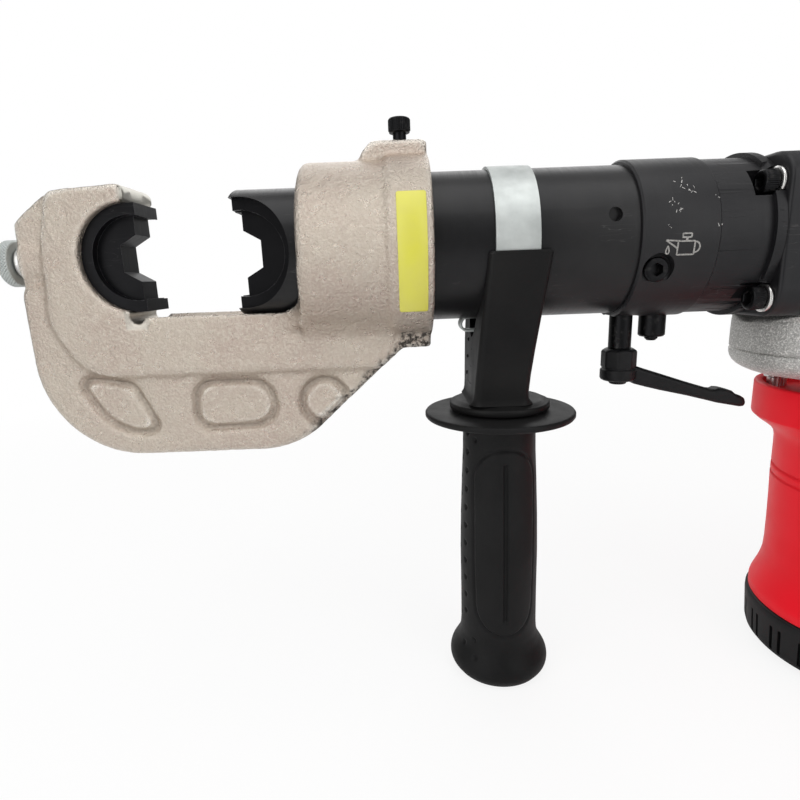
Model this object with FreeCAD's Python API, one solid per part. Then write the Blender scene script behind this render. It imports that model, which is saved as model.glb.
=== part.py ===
"""Cordless hydraulic cable crimping tool with a C-shaped head, modelled as separate pieces.

Lengths are millimetres. Along the tool, x = 0 is the rear face of the head's collar and -x points to the
jaw. The ram axis is the line y = 0, z = 0 while a piece is being made. The finished pieces are moved so
that the row's origin lies under the middle of the tool, on the surface it stands on.
"""
import FreeCAD, Part
import math
import os

Vector = FreeCAD.Vector

# Clearances
RUNNING = 0.05            # radial play of a shaft in its bore
SEAT = 0.3                # gap between moving pieces that pass close to each other
BOLT_PLAY = 0.3           # radial play of a screw in a plain hole

# Head: a forged C with a barrel that holds the cylinder
MOUTH_LENGTH = 75.5       # from the fixed jaw's face to the barrel
BARREL_WALL = 5.45        # steel round the cylinder tube
BARREL_LENGTH = 56.5      # with the collar
COLLAR_STEP = 2.0         # how far the collar stands out of the barrel
COLLAR_LENGTH = 19.0
JAW_TOP = 31.5            # height of the jaw above the ram axis
JAW_DEPTH = 34.5          # the jaw's top, from its face to the plate's corner
PLATE_REACH = 42.0        # from the jaw's face to the plate's furthest edge
FLOOR_DROP = 25.0         # the mouth's floor below the ram axis
PLATE_DROP = 53.0         # the lower edge of the thick plate
SPINE_DROP = 92.0         # the lowest point of the C below the ram axis
SPINE_RADIUS = 46.0       # big curve at the front foot of the C
DIAGONAL_RISE = 42.3      # slope of the C's rear edge, in degrees
PLATE_THICKNESS = 30.0
RIM_THICKNESS = 25.0
RIM_REACH = 54.0          # from the jaw's face to the rim's front edge
POCKET_DEPTH = 3.2
BOSS_RISE = 5.5           # how far the lock screw's boss stands out of the collar
BOSS_WIDTH = 17.0
CRADLE_REACH = 25.0       # how far the cradle under the ram comes out of the barrel
CRADLE_SWEEP = 15.0       # radius of its swept sides
RAM_GROOVE_PLAY = 1.2     # radial room of the groove that the ram passes over in the mouth's floor
LUG_DROP = 44.5           # bottom of the lug under the collar
LOCK_SCREW_X = -12.0

# Cylinder, ram and dies
TUBE_RADIUS = 33.0
TUBE_WALL = 4.45
TUBE_INSERT = 30.0        # length of the tube inside the barrel
TUBE_LENGTH = 115.0
LOCK_GROOVE_DEPTH = 1.5   # groove in the tube that the lock screw's tip runs in
RAM_WALL = 13.5           # from the ram's skin to its spring bore
RAM_HORN = 4.8            # steel left round the moving die's seat
RAM_WEB = 10.0            # between the die's seat and the spring bore
RAM_LENGTH = 110.0
RAM_REACH = 31.5          # how far the withdrawn ram stands out of the barrel
SEAL_DEPTH = 3.0
SEAL_WIDTH = 5.0
SEAL_INSET = 9.0          # from the ram's rear end to the seal groove's front
SPRING_RADIUS = 9.5
SPRING_WIRE = 3.0
DIE_THICKNESS = 23.0
DIE_WEB = 15.0            # thickness of a die behind its side recess
DIE_RIM = 5.0             # width of the ring left round the side recess
DIE_LIP = 2.8             # height of the two stop lips on a die's flat
DIE_LIP_WIDTH = 5.5
FIXED_DIE_SINK = 0.5      # how far the fixed die's flat lies behind the jaw's face
MOVING_DIE_SINK = 4.0     # the same, behind the ram's front
DIE_PLAY = 0.1
HEX_ACROSS = 20.6         # across the crimping hexagon's flats

# Die lock pin at the front of the head
LOCK_PIN_RADIUS = 4.0
LOCK_PIN_DEPTH = 2.5      # how far the pin's tip enters the die
LOCK_COLLAR_RADIUS = 6.6
LOCK_COLLAR_LENGTH = 2.0
LOCK_BUSH_LENGTH = 5.0
LOCK_BOSS_REACH = 61.5    # from the jaw's face to the boss's front face
LOCK_BOSS_RADIUS = 13.0
LOCK_KNOB_RADIUS = 10.7
LOCK_KNOB_LENGTH = 5.5
LOCK_KNOB_GAP = 1.5

# Pump body and the flange that joins it to the gear housing
PUMP_LEDGE = 2.0          # how far the pump body stands out of the tube
PUMP_REAR_STEP = 1.0      # how much thinner its rear part is, and thicker its ring
PUMP_STEP = 32.0          # length of the wider front part
PUMP_LENGTH = 53.5
PUMP_NOSE = 18.0          # length of the nose inside the tube
FLANGE_RING_LENGTH = 4.0
FLANGE_THICKNESS = 17.5
FLANGE_MARGIN = 0.4       # how far the square flange stands out of the pump body
FLANGE_CORNER = 10.0
FLANGE_BOLT_INSET_Y = 8.4  # from the flange's sides to its screws
FLANGE_BOLT_INSET_Z = 10.4
PLUNGER_RADIUS = 6.0
PLUNGER_REACH = 22.0      # how deep the plunger enters the pump body

# Metric socket screws: shank radius, head radius, head height
M6 = (3.0, 5.0, 6.0)
M5 = (2.5, 4.25, 5.0)
WASHER_THICKNESS = 1.6

# Pressure release lever and safety valve under the pump body
RELEASE_OFFSET = 7.0      # from the pump body's front face
RELEASE_STEM_RADIUS = 5.25
RELEASE_CORE_RADIUS = 4.0
RELEASE_STEM_LENGTH = 15.0  # from the pump body down to the stem's shoulder
RELEASE_INSERT = 14.0     # length of the valve spindle inside the pump body
LEVER_GAP = 0.4
LEVER_HUB_LENGTH = 15.6
LEVER_HUB_RADIUS = 8.3
LEVER_BORE_LENGTH = 6.0   # length of the hub's bore above the counterbore
LEVER_COUNTERBORE = 5.6
LEVER_REACH = 63.0        # from the spindle to the lever's tip
LEVER_TIP_DROP = 83.0
SAFETY_OFFSET = 22.2
SAFETY_RADIUS = 6.1
SAFETY_LENGTH = 10.0      # how far the safety valve's cap stands out of the pump body
PLUG_OFFSET = 8.0
PLUG_Z = -13.5
PLUG_RADIUS = 5.2
PLUG_RECESS_RADIUS = 6.6
PLUG_RECESS_DEPTH = 2.4
SPANNER_HOLE_INSET = 10.5  # from the tube's rear end
SPANNER_HOLE_Z = 9.2
SPANNER_HOLE_RADIUS = 2.9
SPANNER_HOLE_DEPTH = 3.0

# Side handle on its clamp band
BAND_X = 34.5
HANDLE_X = 33.2           # the handle's own axis
BAND_WIDTH = 18.3
BAND_THICKNESS = 1.3
STRAP_HALF_WIDTH = 7.0    # the band's end below the tube
STRAP_HEIGHT = 8.0
YOKE_WIDTH = 25.6
YOKE_TOP_X = 35.4         # middle of the yoke's upper edge
YOKE_FOOT_X = 31.6        # middle of its lower edge
YOKE_TOP_DROP = 3.5
YOKE_SIDE = 3.2           # the yoke's arms outside the tube
YOKE_HALF_FOOT = 19.5
YOKE_FOOT_DROP = 72.5     # top of the yoke's foot disc
YOKE_FOOT_RADIUS = 24.5
GUARD_DROP = 78.5         # top of the grip's guard disc
GUARD_RADIUS = 36.9
GUARD_THICKNESS = 3.2
GRIP_NECK_RADIUS = 18.0
GRIP_RADIUS = 20.0
POMMEL_RADIUS = 26.3
POMMEL_HEIGHT = 26.0      # from the stand surface to the start of the flare
STAND_DROP = 222.0        # the surface below the ram axis
CLAMP_BOLT_RADIUS = 4.0
CLAMP_BOLT_DEPTH = 30.0   # how deep the bolt enters the grip
GRIP_NUT_ACROSS = 14.0
GRIP_NUT_LENGTH = 22.0
GRIP_NUT_COVER = 4.0      # rubber above the nut

# Gear housing, crank and motor
CRANK_OFFSET = 27.0       # from the flange's rear face to the crank
HOUSING_LENGTH = 86.0
GEAR_MODULE = 1.0
BACKLASH = 0.04           # taken off each side of a tooth, as a share of the tooth's pitch
PINION_TEETH = 10
CRANK_TEETH = 56
GEAR_TOP = -40.0
GEAR_WIDTH = 11.0
ECCENTRIC = 3.0
CRANK_PIN_RADIUS = 6.0
CRANK_PIN_HALF = 12.0     # half the pin's length
CRANK_DISC_RADIUS = 12.0
CRANK_BAY_HALF = 26.0     # half the width of the crank's bay in the housing
PLUNGER_YOKE_WALL = 6.0
PLUNGER_YOKE_HALF = 10.0  # half the height of the plunger's yoke
CRANK_JOURNAL_RADIUS = 7.5
BEARING_RADIUS = 14.0
BEARING_WIDTH = 9.0
DRUM_RADIUS = 41.5
COVER_TOP = -56.0
COVER_BOTTOM = -68.0
HOUSING_WALL = 5.0
TOP_COVER_HEIGHT = 2.0
MOTOR_HALF_LENGTH = 46.5
MOTOR_HALF_WIDTH = 44.0
MOTOR_CORNER = 36.0
MOTOR_WALL = 3.0
MOTOR_COLLAR_REACH = 11.5  # how far the upper collar stands out in front
MOTOR_COLLAR_INSET = 4.5   # how far it lies back at the rear
MOTOR_COLLAR_SIDE = 2.0
MOTOR_COLLAR_HEIGHT = 15.0
MOTOR_GROOVES = (36.0, 40.5)  # depth of the two grooves below the motor's top
MOTOR_TOP = -70.0
MOTOR_FLARE = 5.0         # how far the collar and the base lip stand out
CAP_TOP = -180.0
CAP_BOTTOM = -207.0
STATOR_TOP = -108.0
STATOR_BOTTOM = -172.0
ROTOR_RADIUS = 23.5
ROTOR_SHAFT_RADIUS = 4.0
FAN_RADIUS = 32.0
FAN_HUB_RADIUS = 7.0
FAN_HEIGHT = 11.0
FAN_RISE = 5.0            # clear height between the stator and the fan
FAN_BLADES = 9
VENT_PITCH = 9.0          # between pairs of slots in the base cap
VENT_SPLIT = 4.4          # between the two slots of a pair
VENT_WIDTH = 2.2
VENT_HEIGHT = 12.0

# Rear handle, trigger and battery
HANDLE_HALF_WIDTH = 18.0
HANDLE_WALL = 3.0
FINGER_ROOM = 37.5        # between the motor housing and the grip
GRIP_DEPTH = 44.0
HANDLE_TOP = 28.0
FOOT_TOP = -146.0
BATTERY_TOP = -170.0
BATTERY_GAP = 10.5        # between the motor housing and the battery
BATTERY_LENGTH = 105.0
BATTERY_HALF_WIDTH = 37.0
RAIL_HALF_WIDTH = 24.0
RAIL_LIP = 5.0
RAIL_HEIGHT = 9.0
BOARD_LENGTH = 72.0
BOARD_THICKNESS = 3.0
SWITCH_LENGTH = 14.0
SWITCH_GAP = 5.0          # left between the pressed trigger and the switch
TRIGGER_TRAVEL = 6.0
TRIGGER_HALF_WIDTH = 8.0
TRIGGER_TOP = -30.0
TRIGGER_BOTTOM = -72.0

# Places worked out from the sizes above
BARREL_FRONT = -BARREL_LENGTH
JAW_FACE = BARREL_FRONT - MOUTH_LENGTH
RAM_FRONT = BARREL_FRONT - RAM_REACH
RAM_REAR = RAM_FRONT + RAM_LENGTH
TUBE_FRONT = -TUBE_INSERT
TUBE_REAR = TUBE_FRONT + TUBE_LENGTH
FIXED_FLAT = JAW_FACE - FIXED_DIE_SINK
MOVING_FLAT = RAM_FRONT + MOVING_DIE_SINK
TUBE_BORE = TUBE_RADIUS - TUBE_WALL
RAM_RADIUS = TUBE_BORE - RUNNING
RAM_BORE_RADIUS = RAM_RADIUS - RAM_WALL
DIE_RADIUS = RAM_RADIUS - RAM_HORN
BARREL_BORE = TUBE_RADIUS + RUNNING
BARREL_RADIUS = BARREL_BORE + BARREL_WALL
COLLAR_RADIUS = BARREL_RADIUS + COLLAR_STEP
BOSS_HEIGHT = COLLAR_RADIUS + BOSS_RISE
BAND_INNER = TUBE_RADIUS + RUNNING
BAND_OUTER = BAND_INNER + BAND_THICKNESS
BOSS_FACE = JAW_FACE - LOCK_BOSS_REACH
DIE_BACK = FIXED_FLAT - DIE_RADIUS
LOCK_TIP = DIE_BACK + LOCK_PIN_DEPTH
SPANNER_HOLE_X = TUBE_REAR - SPANNER_HOLE_INSET
RELEASE_X = TUBE_REAR + RELEASE_OFFSET
SAFETY_X = TUBE_REAR + SAFETY_OFFSET
PLUG_X = TUBE_REAR + PLUG_OFFSET
PUMP_RADIUS = TUBE_RADIUS + PUMP_LEDGE
PUMP_REAR_RADIUS = PUMP_RADIUS - PUMP_REAR_STEP
FLANGE_RING_RADIUS = PUMP_RADIUS + PUMP_REAR_STEP
FLANGE_HALF = PUMP_RADIUS + FLANGE_MARGIN
PUMP_REAR = TUBE_REAR + PUMP_LENGTH + FLANGE_RING_LENGTH
FLANGE_REAR = PUMP_REAR + FLANGE_THICKNESS
RELEASE_STEM_DROP = PUMP_RADIUS + RELEASE_STEM_LENGTH
SAFETY_DROP = PUMP_RADIUS + SAFETY_LENGTH
YOKE_HALF_TOP = TUBE_RADIUS + YOKE_SIDE
CRANK_X = FLANGE_REAR + CRANK_OFFSET
HOUSING_REAR = FLANGE_REAR + HOUSING_LENGTH
MOTOR_X = CRANK_X + GEAR_MODULE * (CRANK_TEETH + PINION_TEETH) / 2
MOTOR_REAR = MOTOR_X + MOTOR_HALF_LENGTH
GEAR_BOTTOM = GEAR_TOP - GEAR_WIDTH
HANDLE_GRIP_FRONT = MOTOR_REAR + FINGER_ROOM
HANDLE_REAR = HANDLE_GRIP_FRONT + GRIP_DEPTH
BATTERY_FRONT = MOTOR_REAR + BATTERY_GAP
BATTERY_REAR = BATTERY_FRONT + BATTERY_LENGTH
FOOT_REAR = BATTERY_REAR - 14


def cylinder_x(radius, start, end, y=0.0, z=0.0):
    """Solid cylinder along x from start to end."""
    return Part.makeCylinder(radius, end - start, Vector(start, y, z), Vector(1, 0, 0))


def cylinder_y(radius, start, end, x=0.0, z=0.0):
    """Solid cylinder along y from start to end."""
    return Part.makeCylinder(radius, end - start, Vector(x, start, z), Vector(0, 1, 0))


def cylinder_z(radius, start, end, x=0.0, y=0.0):
    """Solid cylinder along z from start to end."""
    return Part.makeCylinder(radius, end - start, Vector(x, y, start), Vector(0, 0, 1))


def block(x0, x1, y0, y1, z0, z1):
    """Box between two corners."""
    return Part.makeBox(x1 - x0, y1 - y0, z1 - z0, Vector(x0, y0, z0))


def ring_x(outer, inner, start, end):
    """Tube along x."""
    return cylinder_x(outer, start, end).cut(cylinder_x(inner, start - 1, end + 1))


def ring_z(outer, inner, start, end, x=0.0, y=0.0):
    """Tube along z."""
    return cylinder_z(outer, start, end, x, y).cut(cylinder_z(inner, start - 1, end + 1, x, y))


PLANES = {
    "xz": (lambda u, v, w: Vector(u, w, v), Vector(0, 1, 0)),
    "xy": (lambda u, v, w: Vector(u, v, w), Vector(0, 0, 1)),
    "yz": (lambda u, v, w: Vector(w, u, v), Vector(1, 0, 0)),
}


def rounded_outline(corners):
    """Corner list (u, v, radius) to the pieces of a closed outline: lines and tangent arcs."""
    count = len(corners)
    spots = []
    for i in range(count):
        u, v, radius = corners[i]
        before = corners[i - 1]
        after = corners[(i + 1) % count]
        here = Vector(u, v, 0)
        back = (Vector(before[0], before[1], 0) - here).normalize()
        forth = (Vector(after[0], after[1], 0) - here).normalize()
        if radius <= 0:
            spots.append((here, None, here))
            continue
        half = back.getAngle(forth) / 2
        reach = radius / math.tan(half)
        middle = (back + forth).normalize()
        top = here + middle * (radius / math.sin(half) - radius)
        spots.append((here + back * reach, top, here + forth * reach))
    return spots


def prism(corners, plane, start, end):
    """Extrudes a rounded outline, drawn in a plane, from start to end along the plane's normal."""
    place, normal = PLANES[plane]
    spots = rounded_outline(corners)
    edges = []
    for i, (enter, top, leave) in enumerate(spots):
        if top is not None:
            points = [place(p.x, p.y, start) for p in (enter, top, leave)]
            edges.append(Part.Arc(*points).toShape())
        ahead = spots[(i + 1) % len(spots)][0]
        if (ahead - leave).Length > 1e-6:
            line = Part.LineSegment(place(leave.x, leave.y, start), place(ahead.x, ahead.y, start))
            edges.append(line.toShape())
    wire = Part.Wire(Part.__sortEdges__(edges))
    return Part.Face(wire).extrude(normal * (end - start))


def slab(corners, thickness):
    """Plate in the xz plane, centred on y = 0."""
    return prism(corners, "xz", -thickness / 2, thickness / 2)


def rounded_rectangle(u0, u1, v0, v1, radius):
    """Corner list of a rectangle whose corners are rounded."""
    return [(u0, v0, radius), (u1, v0, radius), (u1, v1, radius), (u0, v1, radius)]


def turned(profile, at, axis):
    """Solid of revolution. The profile lists (along, radius) pairs from the start to the end of the axis."""
    along = {"x": Vector(1, 0, 0), "z": Vector(0, 0, 1)}[axis]
    out = {"x": Vector(0, 0, 1), "z": Vector(1, 0, 0)}[axis]
    points = [at + along * a + out * r for a, r in profile]
    first = at + along * profile[0][0]
    last = at + along * profile[-1][0]
    outline = [first] + points + [last, first]
    clean = [outline[0]]
    for p in outline[1:]:
        if (p - clean[-1]).Length > 1e-6:
            clean.append(p)
    face = Part.Face(Part.makePolygon(clean))
    return face.revolve(at, along, 360)


def edges_where(shape, test):
    """Edges whose middle point passes the test."""
    found = []
    for edge in shape.Edges:
        middle = edge.valueAt((edge.FirstParameter + edge.LastParameter) / 2)
        if test(middle, edge):
            found.append(edge)
    return found


def on_plane(axis, places, slack=1e-4):
    """Test for edges that lie wholly in one of the planes axis = place."""
    def test(middle, edge):
        box = edge.BoundBox
        low = getattr(box, axis + "Min")
        high = getattr(box, axis + "Max")
        return any(abs(low - p) < slack and abs(high - p) < slack for p in places)
    return test


def rounded_edges(shape, radius, test):
    """Rounds the edges that pass the test."""
    return shape.makeFillet(radius, edges_where(shape, test))


def bevelled_edges(shape, width, test):
    """Bevels the edges that pass the test."""
    return shape.makeChamfer(width, edges_where(shape, test))


def hex_prism(across, direction, start, end, u=0.0, v=0.0):
    """Hexagonal prism along x, y or z, its flats the given distance apart."""
    plane = {"x": "yz", "y": "xz", "z": "xy"}[direction]
    reach = across / math.sqrt(3)
    corners = []
    for i in range(6):
        angle = math.radians(60 * i + 30)
        corners.append((u + reach * math.cos(angle), v + reach * math.sin(angle), 0))
    return prism(corners, plane, start, end)


def socket_screw(size, length, at, direction):
    """Socket head screw. The head's underside is at the given point and the shank runs along direction."""
    shank, head, height = size
    body = Part.makeCylinder(shank, length, at, direction)
    body = body.fuse(Part.makeCylinder(head, height, at - direction * height, direction))
    socket = hex_prism(shank * 1.66, "z", 0, height * 0.6)
    socket.Placement = FreeCAD.Placement(at - direction * height, FreeCAD.Rotation(Vector(0, 0, 1), direction))
    rim = edges_where(body, lambda p, e: (p - at).dot(direction) < -height + 1e-3)
    body = body.makeChamfer(height * 0.08, rim)
    return body.cut(socket).removeSplitter()


def diagonal_x(z):
    """Where the C's rear edge is at a height. It ends under the collar, at the lug."""
    run = (z + LUG_DROP) / math.tan(math.radians(DIAGONAL_RISE))
    return LOCK_SCREW_X - 2 + run


def rim_corners():
    """Outline of the C's rim: front edge, foot, rear edge and lug."""
    front = JAW_FACE - RIM_REACH
    return [
        (JAW_FACE - 5, 0, 0),
        (front, -12, 5),
        (front, -SPINE_DROP, SPINE_RADIUS),
        (diagonal_x(-SPINE_DROP), -SPINE_DROP, SPINE_RADIUS),
        (diagonal_x(-LUG_DROP), -LUG_DROP, 3),
        (-1, -LUG_DROP, 2),
        (-1, -FLOOR_DROP - 5, 0),
        (JAW_FACE, -FLOOR_DROP - 5, 0),
    ]


def plate_corners():
    """Outline of the thick plate: the jaw, the mouth's floor and the root of the barrel."""
    reach = JAW_FACE - PLATE_REACH
    return [
        (JAW_FACE, JAW_TOP, 4),
        (JAW_FACE - JAW_DEPTH, JAW_TOP - 2, 5),
        (JAW_FACE - PLATE_REACH + 2, 8, 20),
        (reach, -PLATE_DROP * 0.55, 14),
        (JAW_FACE - JAW_DEPTH + 6, -PLATE_DROP, 22),
        (diagonal_x(-PLATE_DROP), -PLATE_DROP, 0),
        (diagonal_x(-LUG_DROP), -LUG_DROP, 0),
        (-1, -LUG_DROP, 0),
        (-1, 0, 0),
        (BARREL_FRONT, 0, 0),
        (BARREL_FRONT, -FLOOR_DROP, 17),
        (JAW_FACE, -FLOOR_DROP, 0),
    ]


def pocket(corners):
    """Cutters for one pocket on both faces of the rim, with a rounded floor edge."""
    floor = RIM_THICKNESS / 2 - POCKET_DEPTH
    outer = RIM_THICKNESS / 2 + 4
    near = prism(corners, "xz", floor, outer)
    near = bevelled_edges(near, POCKET_DEPTH * 0.7, on_plane("Y", [floor]))
    return [near, near.mirror(Vector(0, 0, 0), Vector(0, 1, 0))]


def make_cradle():
    """Wall that rises from the mouth's floor round the ram to the barrel, swept in from both sides."""
    front = BARREL_FRONT - CRADLE_REACH
    back = BARREL_FRONT + 2
    half = PLATE_THICKNESS / 2
    wide = BARREL_RADIUS
    plan = prism([
        (back, -wide, 0), (back, wide, 0), (BARREL_FRONT, wide - 2, 0), (BARREL_FRONT - 3, half, CRADLE_SWEEP),
        (front, half, 0), (front, -half, 0), (BARREL_FRONT - 3, -half, CRADLE_SWEEP),
        (BARREL_FRONT, 2 - wide, 0),
    ], "xy", -wide - 1, 0)
    side = slab([
        (back, -2, 0), (BARREL_FRONT, -5, 0), (BARREL_FRONT - 2, -FLOOR_DROP, CRADLE_SWEEP),
        (front, -FLOOR_DROP, 0), (front, -wide - 1, 0), (back, -wide - 1, 0),
    ], 2 * wide)
    return plan.common(side).common(cylinder_x(BARREL_RADIUS - 1, front - 1, back))


def make_barrel_web():
    """Hollow-sided web between the barrel and the plate under it."""
    half = PLATE_THICKNESS / 2
    shoulder = BARREL_RADIUS * 0.72
    foot = -BARREL_RADIUS - 7
    return prism([
        (-shoulder, -shoulder * 0.9, 0), (-half - 1, -BARREL_RADIUS + 0.5, 9), (-half, foot, 0), (half, foot, 0),
        (half + 1, -BARREL_RADIUS + 0.5, 9), (shoulder, -shoulder * 0.9, 0),
    ], "yz", BARREL_FRONT - 2, -COLLAR_LENGTH + 1)


def make_c_head():
    """The forged head: C plate, thinner rim with pockets, barrel, collar, cradle, screw boss and lug."""
    rim = slab(rim_corners(), RIM_THICKNESS)
    rim = rounded_edges(rim, 2.5, on_plane("Y", [-RIM_THICKNESS / 2, RIM_THICKNESS / 2]))
    plate = slab(plate_corners(), PLATE_THICKNESS)
    nose = slab([
        (JAW_FACE - JAW_DEPTH + 8, JAW_TOP - 2.5, 0),
        (JAW_FACE - JAW_DEPTH - 3, JAW_TOP - 2.5, 6),
        (BOSS_FACE, LOCK_BOSS_RADIUS - 1, 3),
        (BOSS_FACE, -LOCK_BOSS_RADIUS + 1, 3),
        (BOSS_FACE + 8, -LOCK_BOSS_RADIUS - 2, 3),
        (JAW_FACE - PLATE_REACH + 4, -LOCK_BOSS_RADIUS - 8, 0),
    ], RIM_THICKNESS - 4)
    nose = bevelled_edges(nose, 1.5, on_plane("Y", [2 - RIM_THICKNESS / 2, RIM_THICKNESS / 2 - 2]))
    boss = cylinder_x(LOCK_BOSS_RADIUS, BOSS_FACE, JAW_FACE - PLATE_REACH + 6)
    boss = bevelled_edges(boss, 1.2, on_plane("X", [BOSS_FACE]))
    barrel = cylinder_x(BARREL_RADIUS, BARREL_FRONT, -COLLAR_LENGTH + 1)
    barrel = rounded_edges(barrel, 4, on_plane("X", [BARREL_FRONT]))
    collar = cylinder_x(COLLAR_RADIUS, -COLLAR_LENGTH, 0)
    collar = bevelled_edges(collar, 1.0, on_plane("X", [-COLLAR_LENGTH, 0]))
    screw_boss = slab([
        (LOCK_SCREW_X - 18, COLLAR_RADIUS, 3),
        (LOCK_SCREW_X - 13, BOSS_HEIGHT, 3),
        (-0.5, BOSS_HEIGHT, 2),
        (-0.5, COLLAR_RADIUS - 8, 0),
        (LOCK_SCREW_X - 18, BARREL_RADIUS - 6, 0),
    ], BOSS_WIDTH)
    pieces = [collar, screw_boss, plate, rim, nose, boss, make_cradle(), make_barrel_web()]
    head = barrel.fuse(pieces).removeSplitter()
    lobe = [
        (JAW_FACE - 40.5, -PLATE_DROP + 3, 6),
        (JAW_FACE - 8, -PLATE_DROP - 2.5, 9),
        (JAW_FACE + 4.5, -SPINE_DROP + 9, 6),
        (JAW_FACE - 22, -SPINE_DROP + 9.5, 25),
    ]
    window = [
        (JAW_FACE + 18, -PLATE_DROP - 2.5, 9),
        (JAW_FACE + 56, -PLATE_DROP - 2.5, 12),
        (JAW_FACE + 61, -SPINE_DROP + 11.5, 12),
        (JAW_FACE + 16, -SPINE_DROP + 9.5, 9),
    ]
    round_end = (diagonal_x(-SPINE_DROP + 24) - 12, -SPINE_DROP + 23.3)
    disc = cylinder_y(13, RIM_THICKNESS / 2 - POCKET_DEPTH, RIM_THICKNESS / 2 + 4, *round_end)
    disc = bevelled_edges(disc, POCKET_DEPTH * 0.7, on_plane("Y", [RIM_THICKNESS / 2 - POCKET_DEPTH]))
    cutters = pocket(lobe) + pocket(window) + [disc, disc.mirror(Vector(0, 0, 0), Vector(0, 1, 0))]
    wide = PLATE_THICKNESS
    cutters += [
        cylinder_x(BARREL_BORE, TUBE_FRONT - SEAT, 1),
        cylinder_x(TUBE_BORE, BARREL_FRONT - 1, TUBE_FRONT),
        cylinder_x(RAM_RADIUS + RAM_GROOVE_PLAY, JAW_FACE - 1, BARREL_FRONT + 2),
        cylinder_y(DIE_RADIUS, -wide, wide, FIXED_FLAT),
        block(FIXED_FLAT, JAW_FACE + 1, -wide, wide, -DIE_RADIUS, DIE_RADIUS),
        cylinder_y(3.2, -wide, wide, JAW_FACE - 2, -FLOOR_DROP - 1),
        cylinder_x(LOCK_PIN_RADIUS + RUNNING, BOSS_FACE, FIXED_FLAT),
        cylinder_x(LOCK_COLLAR_RADIUS + SEAT, BOSS_FACE - 1, LOCK_TIP - 22 + LOCK_COLLAR_LENGTH),
        cylinder_z(M6[0] + RUNNING, TUBE_RADIUS - 3, BOSS_HEIGHT + 1, LOCK_SCREW_X),
    ]
    for cutter in cutters:
        head = head.cut(cutter)
    return head


def make_die(flat, side):
    """Half-round die whose flat faces +x when side is 1 and -x when side is -1."""
    disc = cylinder_y(DIE_RADIUS - DIE_PLAY / 2, -DIE_THICKNESS / 2, DIE_THICKNESS / 2, flat)
    x0, x1 = sorted((flat - side * (DIE_RADIUS + 1), flat))
    behind = block(x0, x1, -DIE_THICKNESS, DIE_THICKNESS, -DIE_RADIUS, DIE_RADIUS)
    half = disc.common(behind)
    lips = []
    for sign in (-1, 1):
        low = sign * (DIE_RADIUS - DIE_PLAY / 2)
        high = sign * (DIE_RADIUS - DIE_LIP_WIDTH)
        x0, x1 = sorted((flat - side * 3, flat + side * DIE_LIP))
        z0, z1 = sorted((low, high))
        lips.append(block(x0, x1, -DIE_THICKNESS / 2, DIE_THICKNESS / 2, z0, z1))
    die = half.fuse(lips).common(cylinder_y(DIE_RADIUS + 2 * DIE_LIP, -20, 20, flat))
    inner = DIE_RADIUS - DIE_RIM
    cutters = []
    for sign in (-1, 1):
        y0, y1 = sorted((sign * DIE_WEB / 2, sign * DIE_THICKNESS))
        cutters.append(cylinder_y(inner, y0, y1, flat))
    cutters.append(hex_prism(HEX_ACROSS, "y", -20, 20, flat + side * DIE_LIP))
    cutters.append(cylinder_x(LOCK_PIN_RADIUS + SEAT, *sorted((flat - side * (DIE_RADIUS + 1),
                   flat - side * (DIE_RADIUS - LOCK_PIN_DEPTH - 0.5)))))
    return die.cut(cutters).removeSplitter()


def make_lock_pin():
    """Pin that holds the fixed die, with the collar that its spring pushes on."""
    tail = BOSS_FACE - LOCK_KNOB_GAP - LOCK_KNOB_LENGTH + 1.5
    pin = cylinder_x(LOCK_PIN_RADIUS, tail, LOCK_TIP)
    pin = pin.makeChamfer(0.8, edges_where(pin, on_plane("X", [LOCK_TIP])))
    collar_start = LOCK_TIP - 22
    return pin.fuse(cylinder_x(LOCK_COLLAR_RADIUS, collar_start, collar_start + LOCK_COLLAR_LENGTH - SEAT))


def make_lock_knob():
    """Fluted pull knob on the lock pin's tail."""
    outer = BOSS_FACE - LOCK_KNOB_GAP - LOCK_KNOB_LENGTH
    inner = BOSS_FACE - LOCK_KNOB_GAP
    knob = cylinder_x(LOCK_KNOB_RADIUS, outer, inner)
    knob = knob.makeChamfer(0.7, edges_where(knob, lambda p, e: e.Length > 10))
    flutes = []
    for i in range(24):
        angle = math.radians(15 * i)
        y = (LOCK_KNOB_RADIUS + 0.35) * math.cos(angle)
        z = (LOCK_KNOB_RADIUS + 0.35) * math.sin(angle)
        flutes.append(cylinder_x(0.8, outer - 1, inner + 1, y, z))
    return knob.cut(flutes + [cylinder_x(LOCK_PIN_RADIUS, outer + 1.5, inner + 1)])


def make_lock_bush():
    """Bush in the boss's mouth that guides the pin and carries the spring."""
    bush = cylinder_x(LOCK_COLLAR_RADIUS + SEAT, BOSS_FACE, BOSS_FACE + LOCK_BUSH_LENGTH)
    return bush.cut(cylinder_x(LOCK_PIN_RADIUS + RUNNING, BOSS_FACE - 1, BOSS_FACE + LOCK_BUSH_LENGTH + 1))


def make_lock_spring():
    """Spring of the lock pin, between the bush and the pin's collar."""
    return ring_x(LOCK_COLLAR_RADIUS - 0.6, LOCK_PIN_RADIUS + 0.6, BOSS_FACE + LOCK_BUSH_LENGTH, LOCK_TIP - 22)


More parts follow.
